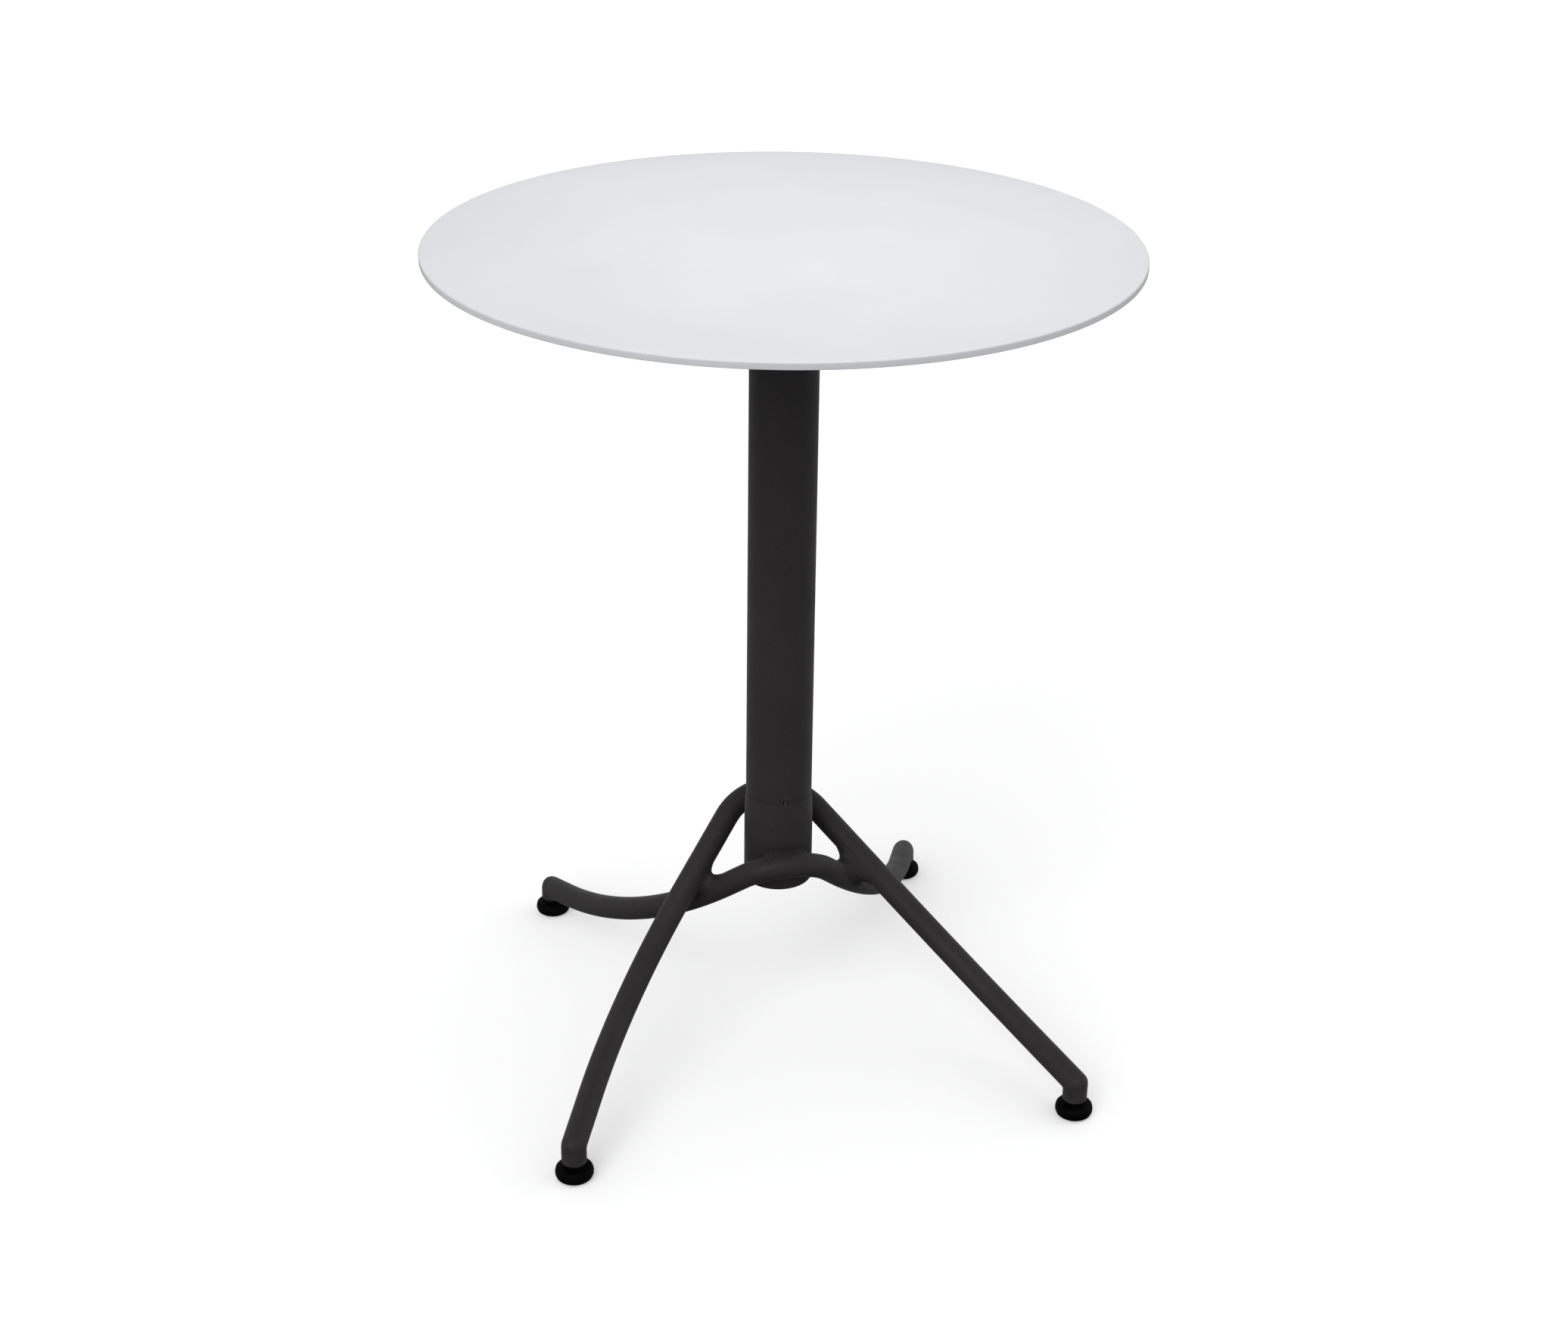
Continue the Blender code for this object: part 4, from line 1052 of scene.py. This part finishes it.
def tabletop():
    """The round top, with a softened upper edge."""
    upper_edge = 0.0015
    lower_edge = 0.0006
    reaches = (0.06, 0.14, 0.22, 0.28)
    profile = [(0.0, TOP_HIGH.z, 0.0)]
    profile += [(reach, TOP_HIGH.z, 0.0) for reach in reaches]
    profile += [(TOP_RADIUS, TOP_HIGH.z, upper_edge), (TOP_RADIUS, TOP_LOW.z, lower_edge)]
    profile += [(reach, TOP_LOW.z, 0.0) for reach in reversed(reaches)]
    profile += [(0.0, TOP_LOW.z, 0.0)]
    centre = middle("tabletop")
    build = lathe(softened(profile, 8), 288, Matrix.Translation((centre.x, centre.y, 0.0)))
    piece("tabletop_shown", build, WHITE_TOP, "top", "tabletop")


def carrier_screws():
    """The four button-head screws that hold the carrier plate, heads down."""
    shank = 0.0025
    head_height = 0.0033
    drive = 0.0022
    drive_lead = 0.0003
    drive_depth = 0.0018

    def warp(reach, height, angle):
        return hexagon(reach, angle) if reach <= drive + TINY else reach

    for number in (1, 2, 3, 4):
        node = f"carrier_screw_{number}"
        low, high, head = extent(node)
        centre = middle(node)
        seat = low.z + head_height
        floor = low.z + drive_depth
        profile = [
            (0.0, high.z, 0.0),
            (shank, high.z, 0.0),
            (shank, seat, 0.0),
            (head, seat, 0.0003),
            (head - 0.0002, seat - 0.0016, 0.0010),
            (head - 0.0024, low.z, 0.0014),
            (drive + drive_lead, low.z, 0.0),
            (drive, low.z + drive_lead, 0.0),
            (drive, floor, 0.0),
            (0.0, floor, 0.0),
        ]
        place = Matrix.Translation((centre.x, centre.y, 0.0))
        build = lathe(softened(profile), 48, place, warp)
        piece(node + "_shown", build, ZINC, "top", node)


# ---------------------------------------------------------------- release lever


def lever_pin():
    """The lever's pin, riveted over at both ends."""
    low, high, _ = extent("lever_pin")
    pin = 0.003
    rivet = 0.0044
    rivet_height = 0.0014
    dome = rivet - 0.0006
    dome_drop = 0.0002
    profile = [
        (0.0, high.x, 0.0),
        (dome, high.x - dome_drop, 0.0008),
        (rivet, high.x - rivet_height, 0.0),
        (pin, high.x - rivet_height, 0.0),
        (pin, low.x + rivet_height, 0.0),
        (rivet, low.x + rivet_height, 0.0),
        (dome, low.x + dome_drop, 0.0008),
        (0.0, low.x, 0.0),
    ]
    build = lathe(softened(profile), 48, on_x_axis(LEVER))
    piece("lever_pin_shown", build, ZINC, "top", "lever_pin")


def lever_spring():
    """The return spring: three turns of wire around the pin and a leg up to the carrier."""
    wire = 0.0006
    coil = 0.0046
    pitch = 0.00125
    start_x = 0.0036
    turns = 3
    per_turn = 40
    knee_y, knee_z = 0.006, -0.0035
    leg_y = 0.0132
    points = []
    for i in range(turns * per_turn + 1):
        turn = 2 * math.pi * i / per_turn
        x = start_x + pitch * i / per_turn
        y = LEVER.y + coil * math.sin(turn)
        points.append(Vector((x, y, LEVER.z - coil * math.cos(turn))))
    last_x = points[-1].x
    leg_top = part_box("lever_spring")[1].z - wire * 0.5
    points.append(Vector((last_x, LEVER.y + knee_y, LEVER.z + knee_z)))
    points.append(Vector((last_x, LEVER.y + leg_y, leg_top)))
    build = wire_along(points, wire, 14)
    piece("lever_spring_shown", build, WIRE, "lever", "lever_spring")


def lever_grip():
    """The rubber grip on the lever: a soft-cornered bar with finger grooves and rounded ends."""
    tip_reach = 0.142
    tip_z = 0.7125
    tip = Vector((0.0, -tip_reach + AXIS_Y, tip_z))
    along = (tip - Vector((0.0, LEVER.y, LEVER.z))).normalized()
    across = along.cross(Vector((1.0, 0.0, 0.0)))
    half_x = 0.0080
    half_z = 0.0072
    corner = 0.0046
    squareness = 2.4
    start = -0.058
    end = 0.004
    outer_nose = 0.0042
    inner_nose = 0.0016
    plain_end = 0.008
    groove_pitch = 0.0052
    groove_depth = 0.00045
    steps = 150
    sides = 64

    def boxy(part, half):
        """One coordinate of the bar's section, from the cosine or sine of the angle around it."""
        flat = math.copysign(min(1.0, abs(part) * squareness), part)
        return (half - corner) * flat + corner * part

    build = bmesh.new()
    rings = []
    for i in range(steps + 1):
        s = start + (end - start) * i / steps
        from_end = min(s - start, end - s)
        nose = outer_nose if s > (start + end) / 2 else inner_nose
        ease = math.sqrt(max(0.0, 1.0 - (1.0 - min(1.0, from_end / nose)) ** 2))
        inset = nose * (1.0 - ease)
        groove = 0.0
        if plain_end < from_end:
            groove = groove_depth * max(0.0, math.cos(2 * math.pi * s / groove_pitch)) ** 3
        size = 1.0 - (inset + groove) / half_z
        ring = []
        for k in range(sides):
            angle = 2 * math.pi * k / sides
            u = boxy(math.cos(angle), half_x)
            v = boxy(math.sin(angle), half_z)
            place = tip + along * s + Vector((u * size, 0.0, 0.0)) + across * (v * size)
            ring.append(build.verts.new(place))
        rings.append(ring)
    capped(build, rings, tip + along * start, tip + along * end)
    piece("lever_grip_shown", build, RUBBER, "lever", "lever_grip", sharp=50.0)


# ---------------------------------------------------------------- studio and camera


def floor():
    """A plain pale floor with a faint glow of painted light that lightens the table's shadow on it,
    clear when seen from below.
    """
    build = bmesh.new()
    bmesh.ops.create_grid(build, x_segments=1, y_segments=1, size=30.0)
    mesh = bpy.data.meshes.new("floor")
    build.to_mesh(mesh)
    build.free()
    finish = Finish("pale_floor", specular=0.1)
    tone = finish.spread(finish.noise(0.8, 3.0), 0.0, 1.0)
    finish.colour(finish.mixed(tone, (0.945, 0.946, 0.948), (0.955, 0.956, 0.958)))
    # painted light: the floor's faint glow lifts the shadow the table casts on it
    finish.set(Roughness=0.9, Emission_Color=(1.0, 1.0, 1.0, 1.0), Emission_Strength=0.25)
    below = finish.nodes.new("ShaderNodeMixShader")
    clear = finish.nodes.new("ShaderNodeBsdfTransparent")
    side = finish.nodes.new("ShaderNodeNewGeometry")
    output = next(node for node in finish.nodes if node.type == "OUTPUT_MATERIAL")
    finish.links.new(side.outputs["Backfacing"], below.inputs["Fac"])
    finish.links.new(finish.shader.outputs["BSDF"], below.inputs[1])
    finish.links.new(clear.outputs["BSDF"], below.inputs[2])
    finish.links.new(below.outputs["Shader"], output.inputs["Surface"])
    mesh.materials.append(finish.material)
    made = bpy.data.objects.new("floor", mesh)
    bpy.context.scene.collection.objects.link(made)
    made.visible_diffuse = False
    made.visible_glossy = False


def room():
    """Soft light from all around, brighter from above, and a white backdrop for the camera."""
    white = (1.0, 1.0, 1.0, 1.0)
    lowest, *between, highest = ((0.06, 0.0), (0.28, 0.38), (0.50, 0.55), (0.75, 0.56))
    world = bpy.data.worlds.new("studio")
    world.use_nodes = True
    nodes = world.node_tree.nodes
    links = world.node_tree.links
    split = nodes.new("ShaderNodeSeparateXYZ")
    links.new(nodes.new("ShaderNodeTexCoord").outputs["Generated"], split.inputs["Vector"])
    height = nodes.new("ShaderNodeMapRange")
    height.inputs["From Min"].default_value = -1.0
    links.new(split.outputs["Z"], height.inputs["Value"])
    glow = nodes.new("ShaderNodeValToRGB")
    links.new(height.outputs["Result"], glow.inputs["Fac"])
    stops = glow.color_ramp.elements
    for place, level in between:
        stops.new(place).color = (level, level, level, 1.0)
    stops[0].position = lowest[0]
    stops[-1].position = highest[0]
    stops[-1].color = (highest[1], highest[1], highest[1], 1.0)
    backdrop = nodes.new("ShaderNodeMix")
    backdrop.data_type = "RGBA"
    first, second = (socket for socket in backdrop.inputs if socket.type == "RGBA")
    result = next(socket for socket in backdrop.outputs if socket.type == "RGBA")
    seen = nodes.new("ShaderNodeLightPath").outputs["Is Camera Ray"]
    links.new(seen, backdrop.inputs["Factor"])
    links.new(glow.outputs["Color"], first)
    second.default_value = white
    links.new(result, nodes["Background"].inputs["Color"])
    bpy.context.scene.world = world


def lamps():
    """Three soft suns and a softbox over the top, all aimed at the table's middle."""
    aim = Vector((0.0, 0.0, 0.4))
    for name, kind, place, strength, spread in (
        ("ceiling", "SUN", (0.15, -0.25, 3.0), 0.30, math.radians(75)),
        ("key", "SUN", (-1.7, -2.2, 2.4), 1.10, math.radians(45)),
        ("side", "SUN", (3.0, 0.3, 1.6), 0.30, math.radians(50)),
        ("softbox", "AREA", (0.02, -0.03, 1.25), 1.02, 0.4),
    ):
        lamp = bpy.data.lights.new(name, kind)
        lamp.energy = strength
        if kind == "SUN":
            lamp.angle = spread
        else:
            lamp.size = spread
        made = bpy.data.objects.new(name, lamp)
        made.location = place
        made.visible_camera = False
        made.rotation_mode = "QUATERNION"
        made.rotation_quaternion = (aim - Vector(place)).to_track_quat("-Z", "Y")
        bpy.context.scene.collection.objects.link(made)


def camera():
    """The photograph's viewing angle."""
    place = (-0.4439, -1.9474, 1.3373)
    yaw = math.radians(12.98)
    pitch = math.radians(26.15)
    roll = math.radians(-0.8)
    level = math.cos(pitch)
    ahead = Vector((math.sin(yaw) * level, math.cos(yaw) * level, -math.sin(pitch)))
    right = Vector((math.cos(yaw), -math.sin(yaw), 0.0))
    down = ahead.cross(right)
    turned_right = right * math.cos(roll) + down * math.sin(roll)
    turned_down = down * math.cos(roll) - right * math.sin(roll)
    lens = bpy.data.cameras.new("camera")
    lens.sensor_width = 36.0
    lens.lens = 56.97
    lens.clip_end = 100.0
    made = bpy.data.objects.new("camera", lens)
    axes = Matrix((turned_right, -turned_down, -ahead)).transposed()
    made.matrix_world = Matrix.Translation(place) @ axes.to_4x4()
    bpy.context.scene.collection.objects.link(made)
    bpy.context.scene.camera = made


# ---------------------------------------------------------------- the table

FRONT_LINE = leg_route(FRONT_ROUTE, FRONT_BENDS)
REAR_LINE = leg_route(REAR_ROUTE, REAR_BENDS)

column()
socket()
tie()
leg_tube("front_leg_tube", FRONT_LINE, FRONT_ROUTE)
leg_tube("rear_leg_tube", REAR_LINE, REAR_ROUTE)
for i, level in enumerate(("upper", "lower")):
    socket_weld("front_tube_weld", FRONT_LINE, 1, level, 0.3 + i)
    socket_weld("rear_tube_weld", REAR_LINE, -1, level, 2.7 + i)
crossing_weld("left", 0.0165)
crossing_weld("right", 0.0222)
for corner_name in CORNERS:
    glide(corner_name)
column_end()
hinge()
tabletop()
refined("carrier_plate", 0.0006, 2, COAT, "top")
carrier_screws()
refined("release_lever", 0.0005, 2, COAT, "lever")
lever_pin()
lever_spring()
lever_grip()
spigot = frame["nodes"]["column_spigot"].data
spigot.materials.clear()
spigot.materials.append(BLACKENED)
floor()
room()
lamps()
camera()
bpy.context.scene.view_settings.view_transform = "Standard"
